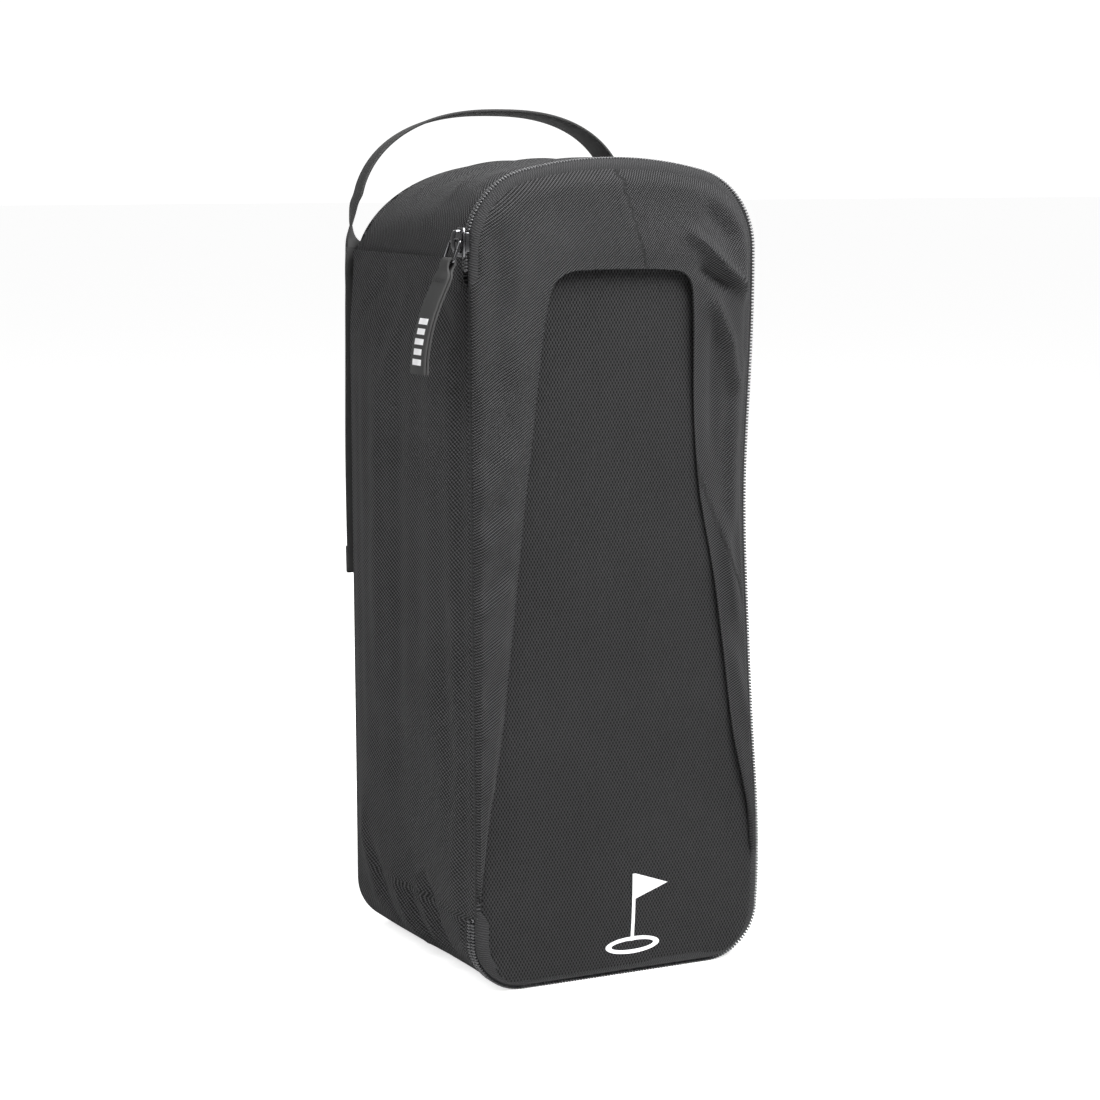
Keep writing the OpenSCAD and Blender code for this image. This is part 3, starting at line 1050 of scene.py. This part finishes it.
# Soft folds in the side wall, as places (depth, height) on the hinge side
SIDE_FOLDS = [
    ((-34, 8), (-12, 46), 2.6, -1.6), ((-24, 6), (-4, 40), 2.6, 1.5), ((-12, 6), (6, 36), 2.6, -1.5),
    ((0, 6), (20, 36), 3.0, 1.3), ((20, 10), (42, 46), 4.0, -1.4), ((38, 16), (56, 60), 5.0, 1.3),
    ((-44, 60), (-38, 190), 7.0, -1.3), ((-22, 110), (-28, 300), 9.0, 1.3),
    ((12, 80), (6, 310), 8.0, -1.4), ((34, 120), (30, 300), 6.0, 1.2), ((52, 80), (54, 300), 5.0, -1.2),
    ((-50, 300), (-20, 322), 5.0, -1.2), ((20, 326), (56, 296), 5.0, -1.2), ((0, 318), (24, 270), 5.0, 1.0),
]


def wall_push(x, y, z):
    """How far the side wall stands out of its flat shape, in millimetres."""
    edge = smooth(GUSSET_Y, GUSSET_Y + 14, y) * (1 - smooth(BACK_Y - 16, BACK_Y, y))
    p = Vector((y, z))
    folds = sum(crease(p, *fold) for fold in SIDE_FOLDS) * smooth(20, 55, abs(x))
    if x > 0:
        body = 3.6 * bell(z, 215, 85) * smooth(GUSSET_Y - 3, GUSSET_Y + 2, y) * (
            1 - smooth(-20, 60, y)) * smooth(40, 70, x)
        return (folds + ripple(x, y, z, 30, 1.0)) * edge + body
    body = 2.6 * smooth(4, 60, z) * (1 - smooth(270, 325, z)) * smooth(30, 70, abs(x))
    return (folds + body + ripple(x, y, z, 30, 1.0)) * edge


def front_depth(x, z):
    """Front edge of the lower gusset: it reaches the door's seam along the hinge."""
    hinge = smooth(ZIP_LOW_Z - 0.5, ZIP_LOW_Z + 2.5, z) * (1 - smooth(ZIP_HIGH_Z - 9, ZIP_HIGH_Z - 5, z))
    gape = GUSSET_Y + 4.4 * splayed(Vector((x, z)))
    return mix(gape, FACE_Y + 0.9, hinge) if x < -HALF_W / 2 else gape


class SHOEBAG_OT_lower_gusset(bpy.types.Operator):
    """Makes the cloth of the two sides and the bottom"""

    bl_idname = "shoebag.lower_gusset"
    bl_label = "Side and Bottom Cloth"

    def execute(self, context):
        edge = outline()
        start = share_at(edge, HALF_W, SEAM_Z)
        length = (1 - start) * edge.length

        def place(u, v):
            t = mix(start, 1.0, u)
            at = edge_point(edge, min(t, 0.99999), 0)
            y = mix(front_depth(at.x, at.y), BACK_Y, v)
            out = wall_push(at.x, y, at.y)
            if at.y < 6:
                out = min(out, 0.0) * 0.3
            p = edge_point(edge, min(t, 0.99999), -out)
            if v < 0.02:
                p = edge_point(edge, min(t, 0.99999), 0.5)
            return (p.x, y, max(p.y, 0.02))

        def cloth(u, v):
            return (mix(GUSSET_Y, BACK_Y, v) * 0.72, u * length)

        obj = patch("side_and_bottom_cloth", 330, 56, place, cloth)
        thicken(obj, sizes().cloth_thickness / MM)
        finish_piece(obj, "bag", wall_cloth(), ["lower_gusset"], angle=50)
        return {"FINISHED"}


TOP_FOLDS = [
    ((-44, -34), (30, -30), 4.0, -1.8), ((-60, -22), (-10, -16), 4.5, 2.0), ((-56, -8), (10, -4), 3.6, -1.6),
    ((-40, 8), (40, 6), 4.0, 1.8), ((-58, 22), (20, 26), 4.0, -1.9), ((-50, 38), (36, 40), 4.5, 1.6),
    ((-20, 50), (50, 48), 3.5, -1.3), ((-66, -44), (-56, 20), 5.0, -1.2), ((60, -40), (64, 30), 6.0, 1.2),
]


class SHOEBAG_OT_top_gusset(bpy.types.Operator):
    """Makes the arched cloth over the top"""

    bl_idname = "shoebag.top_gusset"
    bl_label = "Top Cloth"

    def execute(self, context):
        edge, back = outline(), back_upper()
        end = share_at(edge, HALF_W, SEAM_Z)

        def flat_point(u, v):
            front = edge_point(edge, max(u * end, 0.00001), 0)
            rear = back.place(u)
            share = smooth(-0.15, 1.05, v) / smooth(-0.15, 1.05, 1)
            return front.lerp(rear, share), mix(GUSSET_Y, BACK_Y, v)

        def place(u, v):
            p, y = flat_point(u, v)
            across = flat_point(min(1, u + 0.004), v)[0] - flat_point(max(0, u - 0.004), v)[0]
            normal = Vector((-across.y, across.x)).normalized()
            hold = smooth(GUSSET_Y, GUSSET_Y + 12, y) * (1 - smooth(BACK_Y - 9, BACK_Y, y))
            hold *= smooth(0.0, 0.08, u) * (1 - smooth(0.92, 1.0, u))
            out = 0.6 * sum(crease(Vector((p.x, y)), *fold) for fold in TOP_FOLDS)
            out += ripple(p.x, y, 400, 26, 1.2) + 0.8
            edge_drop = 3.2 * smooth(BACK_Y - 9, BACK_Y, y) ** 2
            q = p + normal * (out * hold - edge_drop * smooth(0.0, 0.1, u) * (1 - smooth(0.9, 1.0, u)))
            if v < 0.02:
                q -= normal * 0.5
            return (q.x, y, q.y)

        def cloth(u, v):
            return (mix(GUSSET_Y, BACK_Y, v), u * end * edge.length)

        obj = patch("top_cloth", 120, 56, place, cloth)
        thicken(obj, sizes().cloth_thickness / MM)
        finish_piece(obj, "bag", wall_cloth(), ["top_gusset"], angle=50)
        return {"FINISHED"}


def back_surface(x, z):
    """Depth of the back panel's outer face, in millimetres."""
    swell = sizes().back_swell / MM
    shape = (1 - (x / HALF_W) ** 8) * smooth(0, 110, z) * (1 - smooth(230, 352, z))
    return BACK_Y + swell * shape + ripple(x, 60, z, 40, 0.9) * shape


class SHOEBAG_OT_back_panel(bpy.types.Operator):
    """Makes the back panel"""

    bl_idname = "shoebag.back_panel"
    bl_label = "Back Panel"

    def execute(self, context):
        def place(u, v):
            z = mix(0.3, BACK_H - 3.4, 0.5 - 0.5 * math.cos(math.pi * v))
            wide = half_width(z, back=True, inset=0.4)
            x = mix(-wide, wide, u)
            rim = max(smooth(0.93, 1.0, abs(2 * u - 1)), smooth(0.985, 1.0, v), 1 - smooth(0, 0.015, v))
            return (x, back_surface(x, z) - 0.6 * rim, z)

        obj = patch("back_cloth", 60, 120, place, as_cut(place), flip=True)
        thicken(obj, sizes().cloth_thickness / MM)
        finish_piece(obj, "bag", wall_cloth(), ["back_panel"], angle=50)
        return {"FINISHED"}


class SHOEBAG_OT_bindings(bpy.types.Operator):
    """Makes the bindings inside the seams and the strip along the hinge, and finishes the base board"""

    bl_idname = "shoebag.bindings"
    bl_label = "Bindings and Base Board"

    def execute(self, context):
        heights = range(15, 361, 15)
        for node, name in (("back_binding", "back_seam_binding"), ("front_binding", "front_seam_binding"),
                           ("hinge_binding", "hinge_seam_binding"),
                           ("side_seam_tapes", "side_seam_tape")):
            obj = fitted_copy(node, name, heights)
            edit(obj, lambda: bpy.ops.uv.cube_project(cube_size=1.0))
            obj.data.uv_layers[0].name = "cloth"
            finish_piece(obj, "bag", tape_cloth(), [node])
        low_z, high_z = ZIP_LOW_Z + 2, ZIP_HIGH_Z - 10
        strip_width, strip_thick = 16, 0.5
        profile = curve_through([Vector(p) for p in (
            (1 - HALF_W, -56), (1 - HALF_W, FACE_Y + 4), (1.6 - HALF_W, FACE_Y + 2.4),
            (4 - HALF_W, FACE_Y + 1.9), (8 - HALF_W, FACE_Y + 2.0))], 4)

        def place(u, v):
            p = profile[round(u * (len(profile) - 1))]
            return (p.x, p.y, mix(low_z, high_z, v))

        strip = patch("hinge_strip", len(profile) - 1, 60, place,
                      lambda u, v: (u * strip_width, v * (high_z - low_z)))
        thicken(strip, strip_thick)
        finish_piece(strip, None, tape_cloth(), ["hinge_binding"])
        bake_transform(strip)
        board = frame["nodes"]["base_board"]
        board.data.materials.clear()
        board.data.materials.append(base_plastic())
        edge_round = board.modifiers.new("Bevel", "BEVEL")
        edge_round.width = 0.0005
        edge_round.segments = 2
        return {"FINISHED"}


# ---------------------------------------------------------------- zip

def bevelled_block(low, high, width, segments=3):
    """A block between two corners, in millimetres, with round edges."""
    deselect()
    middle = (Vector(low) + Vector(high)) / 2 * MM
    bpy.ops.mesh.primitive_cube_add(size=1, location=middle)
    obj = bpy.context.object
    obj.scale = (Vector(high) - Vector(low)) * MM
    bpy.ops.object.transform_apply(location=True, rotation=True, scale=True)
    edit(obj, lambda: bpy.ops.mesh.bevel(offset=width * MM, segments=segments, affect="EDGES"))
    return obj


def joined(name, objs):
    activate(objs[0])
    for obj in objs[1:]:
        obj.select_set(True)
    bpy.ops.object.join()
    made = bpy.context.object
    made.name = made.data.name = name
    return made


def tooth(depth, height, along):
    """One turn of the zip's coil, as a small rounded block."""
    half = Vector((along, depth, height)) / 2
    return bevelled_block(-half, half, 0.3 * min(height, along), 1)


class SHOEBAG_OT_zip(bpy.types.Operator):
    """Makes the two rows of teeth and their tapes"""

    bl_idname = "shoebag.zip"
    bl_label = "Zip"

    def execute(self, context):
        edge = outline()
        start = share_at(edge, -HALF_W, ZIP_HIGH_Z) - 1
        end = share_at(edge, -HALF_W, ZIP_LOW_Z + 1)
        pitch = sizes().tooth_pitch / MM
        count = int((end - start) * edge.length / pitch)
        for name, body, side, node in (("teeth_door", "door", -1, "zip_coil_door"),
                                       ("teeth_case", "bag", 1, "zip_coil_body")):
            places = []
            for k in range(count):
                t = mix(start, end, (k + (0.5 if side > 0 else 0.0)) / count)
                a, b = edge_point(edge, t - 0.0012, 0), edge_point(edge, t + 0.0012, 0)
                d = (b - a).normalized()
                at = edge_point(edge, t, 0)
                open_up = splayed(at)
                p = edge_point(edge, t, -0.15 - 0.3 * rolled(at) + 0.35 * (1 - smooth(2, 20, at.y)))
                along = Vector((d.x, 0, d.y))
                outward = Vector((-d.y, 0, d.x))
                middle = Vector((p.x, CHAIN_Y + side * (1.05 + 0.9 * open_up) + 1.7 * open_up, p.y))
                places.append(turned(middle, along, Vector((0, 1 + 0.5 * open_up, 0)), outward))
            obj = copies(name, tooth(1.9, 1.3, 0.95), places)
            finish_piece(obj, body, coil_nylon(), [node], angle=50)
        for name, body, node, low, high in (
                ("zip_tape_on_door", "door", "zip_tape_door", FACE_Y + 2.6, CHAIN_Y - 0.1),
                ("zip_tape_on_case", "bag", "zip_tape_body", CHAIN_Y + 0.1, GUSSET_Y + 5)):
            def place(u, v):
                t = mix(start, end, u)
                open_up = splayed(edge_point(edge, t, 0))
                y = mix(low, high, v) + (4.0 if v > 0.5 or body == "bag" else 1.6) * open_up * v
                inset = 0.9 + 1.3 * smooth(GUSSET_Y - 0.4, GUSSET_Y + 0.4, y - 4 * open_up)
                if body == "door":
                    inset = 0.9 + 1.0 * (1 - smooth(low, low + 0.9, y))
                p = edge_point(edge, t, inset - 0.7 * rolled(edge_point(edge, t, 0)))
                return (p.x, y, p.y)

            def cloth(u, v):
                return (mix(low, high, v), u * (end - start) * edge.length)

            obj = patch(name, 420, 8, place, cloth)
            thicken(obj, 0.5)
            finish_piece(obj, body, tape_cloth(), [node])
        stops = fitted_copy("zip_end_stops", "zip_stops")
        apply_modifier(stops, "BEVEL", width=0.3 * MM, segments=2, limit_method="ANGLE")
        finish_piece(stops, "bag", slider_metal(), ["zip_end_stops"])
        return {"FINISHED"}


def make_plates():
    """The slider: two plates, flanges that hold the teeth, and the post between the plates."""
    low, high = node_mm("slider_body")
    outer_x, middle_z = low.x, (low.z + high.z) / 2
    plate = bevelled_block((outer_x, CHAIN_Y - 4.4, low.z), (outer_x + 1.5, CHAIN_Y + 4.4, high.z), 0.55)

    def draw_in(p):
        """The outer plate is wide at its middle and drawn in at both ends."""
        share = (p.z - middle_z) / (high.z - low.z) * 2
        squeeze = 1 - 0.30 * smooth(0.35, 1.0, abs(share))
        return Vector((p.x - 0.35 * (1 - share * share), CHAIN_Y + (p.y - CHAIN_Y) * squeeze, p.z))

    edit(plate, lambda: bpy.ops.mesh.subdivide(number_cuts=3))
    moved(plate, draw_in)
    parts = [plate]
    for side in (-1, 1):
        parts.append(bevelled_block((outer_x + 0.6, CHAIN_Y + side * 4.3 - 0.6, middle_z - 4),
                                    (outer_x + 2.6, CHAIN_Y + side * 4.3 + 0.6, middle_z + 4.5), 0.4))
    parts.append(bevelled_block((outer_x + 1.2, CHAIN_Y - 1, low.z + 0.6),
                                (outer_x + 5.3, CHAIN_Y + 1, low.z + 3.6), 0.3))
    parts.append(bevelled_block((high.x - 1.0, FACE_Y + 2.9, low.z), (high.x, GUSSET_Y - 1.7, high.z), 0.3))
    return joined("slider_plates", parts)


def make_bridge():
    """The arch on the slider that holds the ring."""
    low, high = node_mm("slider_bridge")
    bar = [(high.x + 0.3, low.z + 0.6), (high.x - 2.2, low.z + 0.8), (low.x + 0.9, low.z + 2.6),
           (low.x + 0.7, low.z + 5.2), (low.x + 0.9, high.z - 2.4), (high.x - 2.2, high.z - 0.7),
           (high.x + 0.3, high.z - 0.6)]
    line = curve_through([Vector((x, CHAIN_Y, z)) for x, z in bar], 6)
    stations = [(p, a, up, 3.2) for p, a, up in frames_along(line, ACROSS)]
    return ribbon("slider_bridge_arch", stations, 1.2)


def make_ring():
    """The wire ring: an oblong with round corners that hangs from the bridge and holds the tab."""
    top, bottom = tab_axis()
    lean, reach = (bottom - top).normalized(), (bottom - top).length
    half, corner_r, wire_r = 5.25, 1.3, 0.7
    loop = []
    for sy, st, first in ((-1, 0, 180), (1, 0, 270), (1, 1, 0), (-1, 1, 90)):
        cy, ct = sy * (half - corner_r), mix(corner_r, reach - corner_r, st)
        for j in range(7):
            a = math.radians(first + 15 * j)
            loop.append(top + lean * (ct + corner_r * math.sin(a)) + ACROSS * (cy + corner_r * math.cos(a)))
    normal = ACROSS.cross(lean).normalized()
    count = len(loop)

    def place(u, v):
        k = round(v * count) % count
        side = normal.cross((loop[(k + 1) % count] - loop[k - 1]).normalized())
        a = 2 * math.pi * u
        return loop[k] + normal * wire_r * math.cos(a) + side * wire_r * math.sin(a)

    ring = patch("puller_ring_wire", 8, count, place, None, closed=True)
    edit(ring, face_out)
    return ring


class SHOEBAG_OT_slider(bpy.types.Operator):
    """Makes the polished slider, its bridge and the ring"""

    bl_idname = "shoebag.slider"
    bl_label = "Slider and Ring"

    def execute(self, context):
        for make, body, node, angle in ((make_plates, "slider", "slider_body", 40),
                                        (make_bridge, "slider", "slider_bridge", 40),
                                        (make_ring, "ring", "puller_ring", 60)):
            finish_piece(make(), body, slider_metal(), [node], standing=False, angle=angle)
        return {"FINISHED"}


def tab_axis():
    """Middles of the ring's upper and lower bars, in millimetres."""
    joints = {j["name"]: Vector(j["pos_m"]) / MM for j in frame["joints"] if "pos_m" in j}
    return joints["ring_swing"], joints["tab_swing"]


def tab_line():
    """The pull tab's middle line from the ring's lower bar down, with a gentle S."""
    top, bottom = tab_axis()
    lean = (bottom - top).normalized()
    out = Vector((lean.z, 0, -lean.x))
    bends = [(0, 0), (4, 0), (10, 0.3), (20, 1.1), (30, 1.0), (40, -0.4), (47, -2.2), (50, -3.2)]
    return Route(curve_through([bottom + lean * s + out * b for s, b in bends], 8))


class SHOEBAG_OT_pull_tab(bpy.types.Operator):
    """Makes the folded webbing tab, its stitching and its printed bars"""

    bl_idname = "shoebag.pull_tab"
    bl_label = "Pull Tab"

    def execute(self, context):
        line = tab_line()
        thick, bar = 1.35, 0.85         # webbing, and half the ring's wire with its play
        wide, neck = sizes().tab_width / MM, 8.5

        def width_at(s):
            return mix(neck, wide, smooth(2.5, 7.0, s))

        def layer(s, side):
            t = s / line.length
            d = line.direction(t)
            up = ACROSS.cross(d)
            gap = mix(bar + thick / 2, thick / 2 + 0.02, smooth(1.0, 5.5, s))
            return line.place(t) + up * side * gap

        path, widths = [], []

        def lay(side, shares):
            for share in shares:
                s = line.length * share
                path.append(layer(s, side))
                widths.append(width_at(s))

        lay(1, [1 - k / 40 for k in range(41)])
        top, d0 = line.place(0), line.direction(0)
        up0 = ACROSS.cross(d0)
        for k in range(1, 8):
            a = math.radians(180 * k / 8)
            r = bar + thick / 2
            path.append(top + up0 * r * math.cos(a) - d0 * r * math.sin(a))
            widths.append(neck)
        lay(-1, [k / 40 for k in range(41)])
        stations = [(p, a, up, w) for (p, a, up), w in zip(frames_along(path, ACROSS), widths)]
        tab = ribbon("pull_tab_webbing", stations, thick)
        finish_piece(tab, "tab", webbing_cloth(), ["pull_tab"], standing=False)

        outer = [k for k in (1, -1) if layer(20, k).x < line.place(20 / line.length).x][0]

        def face(s, y, lift):
            t = s / line.length
            up = ACROSS.cross(line.direction(t)) * outer
            return line.place(t) + up * (thick + 0.02 + lift) + ACROSS * y, up

        bars = []
        for k in range(5):
            first = line.length - 24 + 4.4 * k
            points = [face(first + j * 0.65, 0, 0.05)[0] for j in range(5)]
            stations = [(p, a, up, 9.0 - 1.2 * (k % 2)) for p, a, up in frames_along(points, ACROSS)]
            bars.append(ribbon("bar", stations, 0.22, corner=2))
        prints = joined("tab_print_bars", bars)
        finish_piece(prints, "tab", white_print(), ["pull_tab_print"], standing=False)

        rows = []
        for s in (8.2, 9.4):
            points = [face(s, mix(-wide / 2 + 1, wide / 2 - 1, k / 8), 0.1)[0] for k in range(9)]
            rows.append(stitches("row", points, face(s, 0, 0)[1], 1.5, 0.5, 0.24))
        sewn = joined("tab_stitching", rows)
        finish_piece(sewn, "tab", sewing_thread(), ["pull_tab_stitch"], standing=False)
        return {"FINISHED"}


# ---------------------------------------------------------------- handle

def tail_station(side, z, out=0.0):
    """Middle, across and up of a strap tail at a height: it hangs clear of the back panel, and
    turns a little where the handle starts."""
    shift = smooth(312, 333, z)
    x = side * (HALF_W - sizes().webbing_width / MM / 2 + 1.5 + 2.5 * shift)
    turn = math.radians(30 * shift)
    up = Vector((side * math.sin(turn), math.cos(turn), 0))
    y = BACK_Y + 6.6 + 2.2 * bell(z, 225, 55) - 1.2 * smooth(300, 333, z)
    return Vector((x, y, z)) + up * out, Vector((math.cos(turn), -side * math.sin(turn), 0)), up


def handle_root():
    """Middle of the handle's swing axis, in millimetres."""
    joint = [j for j in frame["joints"] if j["name"] == "handle_swing"][0]
    return Vector(joint["pos_m"]) / MM


def handle_stations():
    """The webbing's stations: each leg turns from flat on the back to edge-on, then the arch."""
    root_z = handle_root().z
    top_z = node_mm("handle_strap")[1].z - 0.7
    legs = {}
    for side in (-1, 1):
        legs[side] = [tail_station(side, root_z)]
        for x, y, z, turn in ((70.9, 5.8, 4.5, 54), (71.2, 5.3, 10, 67), (71.0, 3.6, 16, 75),
                              (70.8, 1.6, 21, 79)):
            a = math.radians(turn)
            legs[side].append((Vector((side * x, BACK_Y + y, root_z + z)),
                               Vector((math.cos(a), -side * math.sin(a), 0)),
                               Vector((side * math.sin(a), math.cos(a), 0))))
    base_z, wide, deep, power = root_z + 9.5, HALF_W - 1.2, BACK_Y - 5, 2 / 2.4
    arch = []
    for k in range(31):
        a = math.radians(mix(167, 13, k / 30))
        c, h = math.cos(a), math.sin(a)
        arch.append(Vector((wide * math.copysign(abs(c) ** power, c), deep + 4.5 * c * c,
                            base_z + (top_z - base_z) * h ** power)))
    stations = list(legs[-1])
    for k, p in enumerate(arch):
        d = (arch[min(k + 1, 30)] - arch[max(k - 1, 0)]).normalized()
        tilt = math.radians(7) * math.sin(math.pi * k / 30) ** 2
        across = Vector((0, math.cos(tilt), -math.sin(tilt)))
        across = (across - d * across.dot(d)).normalized()
        normal = d.cross(across)
        turn = math.radians(90 - 9 * math.cos(math.pi * k / 30) ** 2)
        stations.append((p, across * math.sin(turn) - normal * math.cos(turn),
                         normal * math.sin(turn) + across * math.cos(turn)))
    right = [(p, across * -1, up) for p, across, up in reversed(legs[1])]
    return stations + right


class SHOEBAG_OT_handle(bpy.types.Operator):
    """Makes the webbing arch over the top"""

    bl_idname = "shoebag.handle"
    bl_label = "Handle"

    def execute(self, context):
        coarse = handle_stations()
        steps = 4
        middles = curve_through([s[0] for s in coarse], steps)
        across = curve_through([s[1] for s in coarse], steps)
        ups = curve_through([s[2] for s in coarse], steps)
        width = sizes().webbing_width / MM
        stations = []
        for m, a, u in zip(middles, across, ups):
            a = a.normalized()
            u = (u - a * u.dot(a)).normalized()
            stations.append((m, a, u, width))
        thick = sizes().webbing_thickness / MM
        root_z, root_reach = handle_root().z, 20
        arch = [k for k, station in enumerate(stations) if station[0].z > root_z + root_reach]
        first, last = arch[0], arch[-1]
        obj = ribbon("handle_webbing", stations[first:last + 1], thick)
        finish_piece(obj, "handle", webbing_cloth(), ["handle_strap"], standing=False)
        for name, run in (("handle_root_left", stations[:first + 1]),
                          ("handle_root_right", stations[last:])):
            root = ribbon(name, run, thick)
            finish_piece(root, None, webbing_cloth(), ["handle_strap"], standing=False)
            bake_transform(root)
        return {"FINISHED"}


class SHOEBAG_OT_strap_tails(bpy.types.Operator):
    """Makes the webbing tails on the back panel, their folded hems and their stitching"""

    bl_idname = "shoebag.strap_tails"
    bl_label = "Strap Tails"

    def execute(self, context):
        width = sizes().webbing_width / MM
        thick = sizes().webbing_thickness / MM
        hem_low, hem_high = node_mm("strap_hems")
        root_z = handle_root().z
        sewn = []
        for side, name, node in ((-1, "strap_tail_left", "back_strap_left"),
                                 (1, "strap_tail_right", "back_strap_right")):
            low = node_mm(node)[0]
            stations = [(*tail_station(side, mix(low.z, root_z - 0.05, k / 50)), width)
                        for k in range(51)]
            tail = ribbon(name, stations, thick)
            finish_piece(tail, "bag", webbing_cloth(), [node], standing=False)
            fold = [tail_station(side, mix(hem_low.z - 0.4, hem_high.z, k / 10), thick + 0.1)
                    for k in range(11)]
            fold.insert(0, tail_station(side, hem_low.z - 1.0, thick * 0.5))
            sewn.append(ribbon("fold", [(*f, width) for f in fold], thick))
        hems = joined("strap_tail_hems", sewn)
        finish_piece(hems, "bag", webbing_cloth(), ["strap_hems"], standing=False)

        rows = []
        tack_low, tack_high = node_mm("handle_bartacks")
        for side in (-1, 1):
            for z in (tack_low.z + 0.8, tack_high.z - 0.8, hem_low.z + 4, hem_low.z + 9):
                out = (1.5 if z < hem_high.z else 0.5) * thick + 0.15
                middle, across, up = tail_station(side, z, out)
                slant = (across * 0.35 + Vector((0, 0, 0.94))).normalized()
                for k in range(14):
                    x = mix(-width / 2 + 1.8, width / 2 - 1.8, k / 13)
                    rows.append(turned(middle + across * x, slant, up.cross(slant), up))
        tacks = copies("bartack_stitching", thread_unit(2.0, 0.3), rows)
        edit(tacks, face_out)
        finish_piece(tacks, "bag", sewing_thread(), ["handle_bartacks"], standing=False)
        return {"FINISHED"}


# ---------------------------------------------------------------- stage

FLOOR_SIZE = 40.0
FLOOR_GLOW = 0.72               # keeps the floor as pale as the backdrop where the camera sees it
BACKDROP, FILL = 1.1, 0.28      # strength of the backdrop as seen, and as it lights the bag
# Name, place, size in metres and power in watts of each soft light, all aimed at the bag's middle
LIGHTS = (("overhead", (0.24, -0.58, 1.05), 0.6, 24), ("left", (-1.1, -0.2, 1.25), 0.9, 10.5),
          ("front", (0.5, -1.7, 1.6), 0.9, 3), ("back", (0.8, 1.7, 1.0), 1.0, 7))
AIM = Vector((0, 0, 0.2))
CAMERA_PLACE = (-0.5558, -1.1156, 0.3754)
CAMERA_LOOK = Vector((0.441, 0.8855, -0.1463))
CAMERA_LENS, CAMERA_SENSOR = 86.81, 36


class SHOEBAG_OT_stage(bpy.types.Operator):
    """Makes the pale floor, the soft studio lights and the camera"""

    bl_idname = "shoebag.stage"
    bl_label = "Stage"

    def execute(self, context):
        deselect()
        bpy.ops.mesh.primitive_plane_add(size=FLOOR_SIZE, location=(0, 0, -0.0003))
        floor = context.object
        floor.name = "studio_floor"
        material, tree, shader = blank("pale floor")
        where = coordinates(tree, uv=False)
        tone = ramp(tree, noise_of(tree, where, 3.0), 0.2, 0.8)
        tree.links.new(tinted(tree, colours().floor, tone, 0.995, 1.0), shader.inputs["Base Color"])
        shader.inputs["Roughness"].default_value = 0.9
        shader.inputs["Specular IOR Level"].default_value = 0.1
        glow = tree.nodes.new("ShaderNodeLightPath").outputs["Is Camera Ray"]
        shader.inputs["Emission Color"].default_value = (1, 1, 1, 1)
        tree.links.new(times(tree, glow, FLOOR_GLOW), shader.inputs["Emission Strength"])
        floor.data.materials.append(material)

        world = bpy.data.worlds.new("studio")
        world.use_nodes = True
        background = world.node_tree.nodes["Background"]
        background.inputs["Color"].default_value = (1, 1, 1, 1)
        seen = world.node_tree.nodes.new("ShaderNodeLightPath").outputs["Is Camera Ray"]
        strength = world.node_tree.nodes.new("ShaderNodeMapRange")
        strength.inputs["To Min"].default_value = FILL
        strength.inputs["To Max"].default_value = BACKDROP
        world.node_tree.links.new(seen, strength.inputs["Value"])
        world.node_tree.links.new(strength.outputs["Result"], background.inputs["Strength"])
        context.scene.world = world

        for name, place, size, power in LIGHTS:
            deselect()
            bpy.ops.object.light_add(type="AREA", location=place)
            light = context.object
            light.name = name
            light.data.size = size
            light.data.energy = power
            aim = AIM - Vector(place)
            light.rotation_euler = aim.to_track_quat("-Z", "Y").to_euler()

        deselect()
        bpy.ops.object.camera_add(location=CAMERA_PLACE)
        camera = context.object
        camera.name = "camera"
        camera.rotation_euler = CAMERA_LOOK.to_track_quat("-Z", "Y").to_euler()
        camera.data.lens = CAMERA_LENS
        camera.data.sensor_width = CAMERA_SENSOR
        context.scene.camera = camera
        context.scene.view_settings.view_transform = "Standard"
        return {"FINISHED"}


BUILDERS = (
    SHOEBAG_OT_stage, SHOEBAG_OT_back_panel, SHOEBAG_OT_lower_gusset, SHOEBAG_OT_top_gusset,
    SHOEBAG_OT_bindings, SHOEBAG_OT_door_panel, SHOEBAG_OT_door_overlay, SHOEBAG_OT_door_rim,
    SHOEBAG_OT_door_inside, SHOEBAG_OT_front_mark, SHOEBAG_OT_zip, SHOEBAG_OT_slider,
    SHOEBAG_OT_pull_tab, SHOEBAG_OT_handle, SHOEBAG_OT_strap_tails,
)


class SHOEBAG_PT_panel(bpy.types.Panel):
    """Lists the bag's sizes, colours and builders"""

    bl_idname = "SHOEBAG_PT_panel"
    bl_label = "Golf Shoe Bag"
    bl_space_type = "VIEW_3D"
    bl_region_type = "UI"
    bl_category = "Shoe Bag"

    def draw(self, context):
        for group in (context.scene.shoe_bag_sizes, context.scene.shoe_bag_colours):
            for key in group.__annotations__:
                self.layout.prop(group, key)
        for builder in BUILDERS:
            self.layout.operator(builder.bl_idname)


CLASSES = (ShoeBagSizes, ShoeBagColours, *BUILDERS, SHOEBAG_PT_panel)


def register():
    for item in CLASSES:
        bpy.utils.register_class(item)
    bpy.types.Scene.shoe_bag_sizes = bpy.props.PointerProperty(type=ShoeBagSizes)
    bpy.types.Scene.shoe_bag_colours = bpy.props.PointerProperty(type=ShoeBagColours)


def unregister():
    del bpy.types.Scene.shoe_bag_sizes
    del bpy.types.Scene.shoe_bag_colours
    for item in reversed(CLASSES):
        bpy.utils.unregister_class(item)


def main():
    register()
    for builder in BUILDERS:
        group, name = builder.bl_idname.split(".")
        getattr(getattr(bpy.ops, group), name)()


if __name__ == "__main__":
    main()
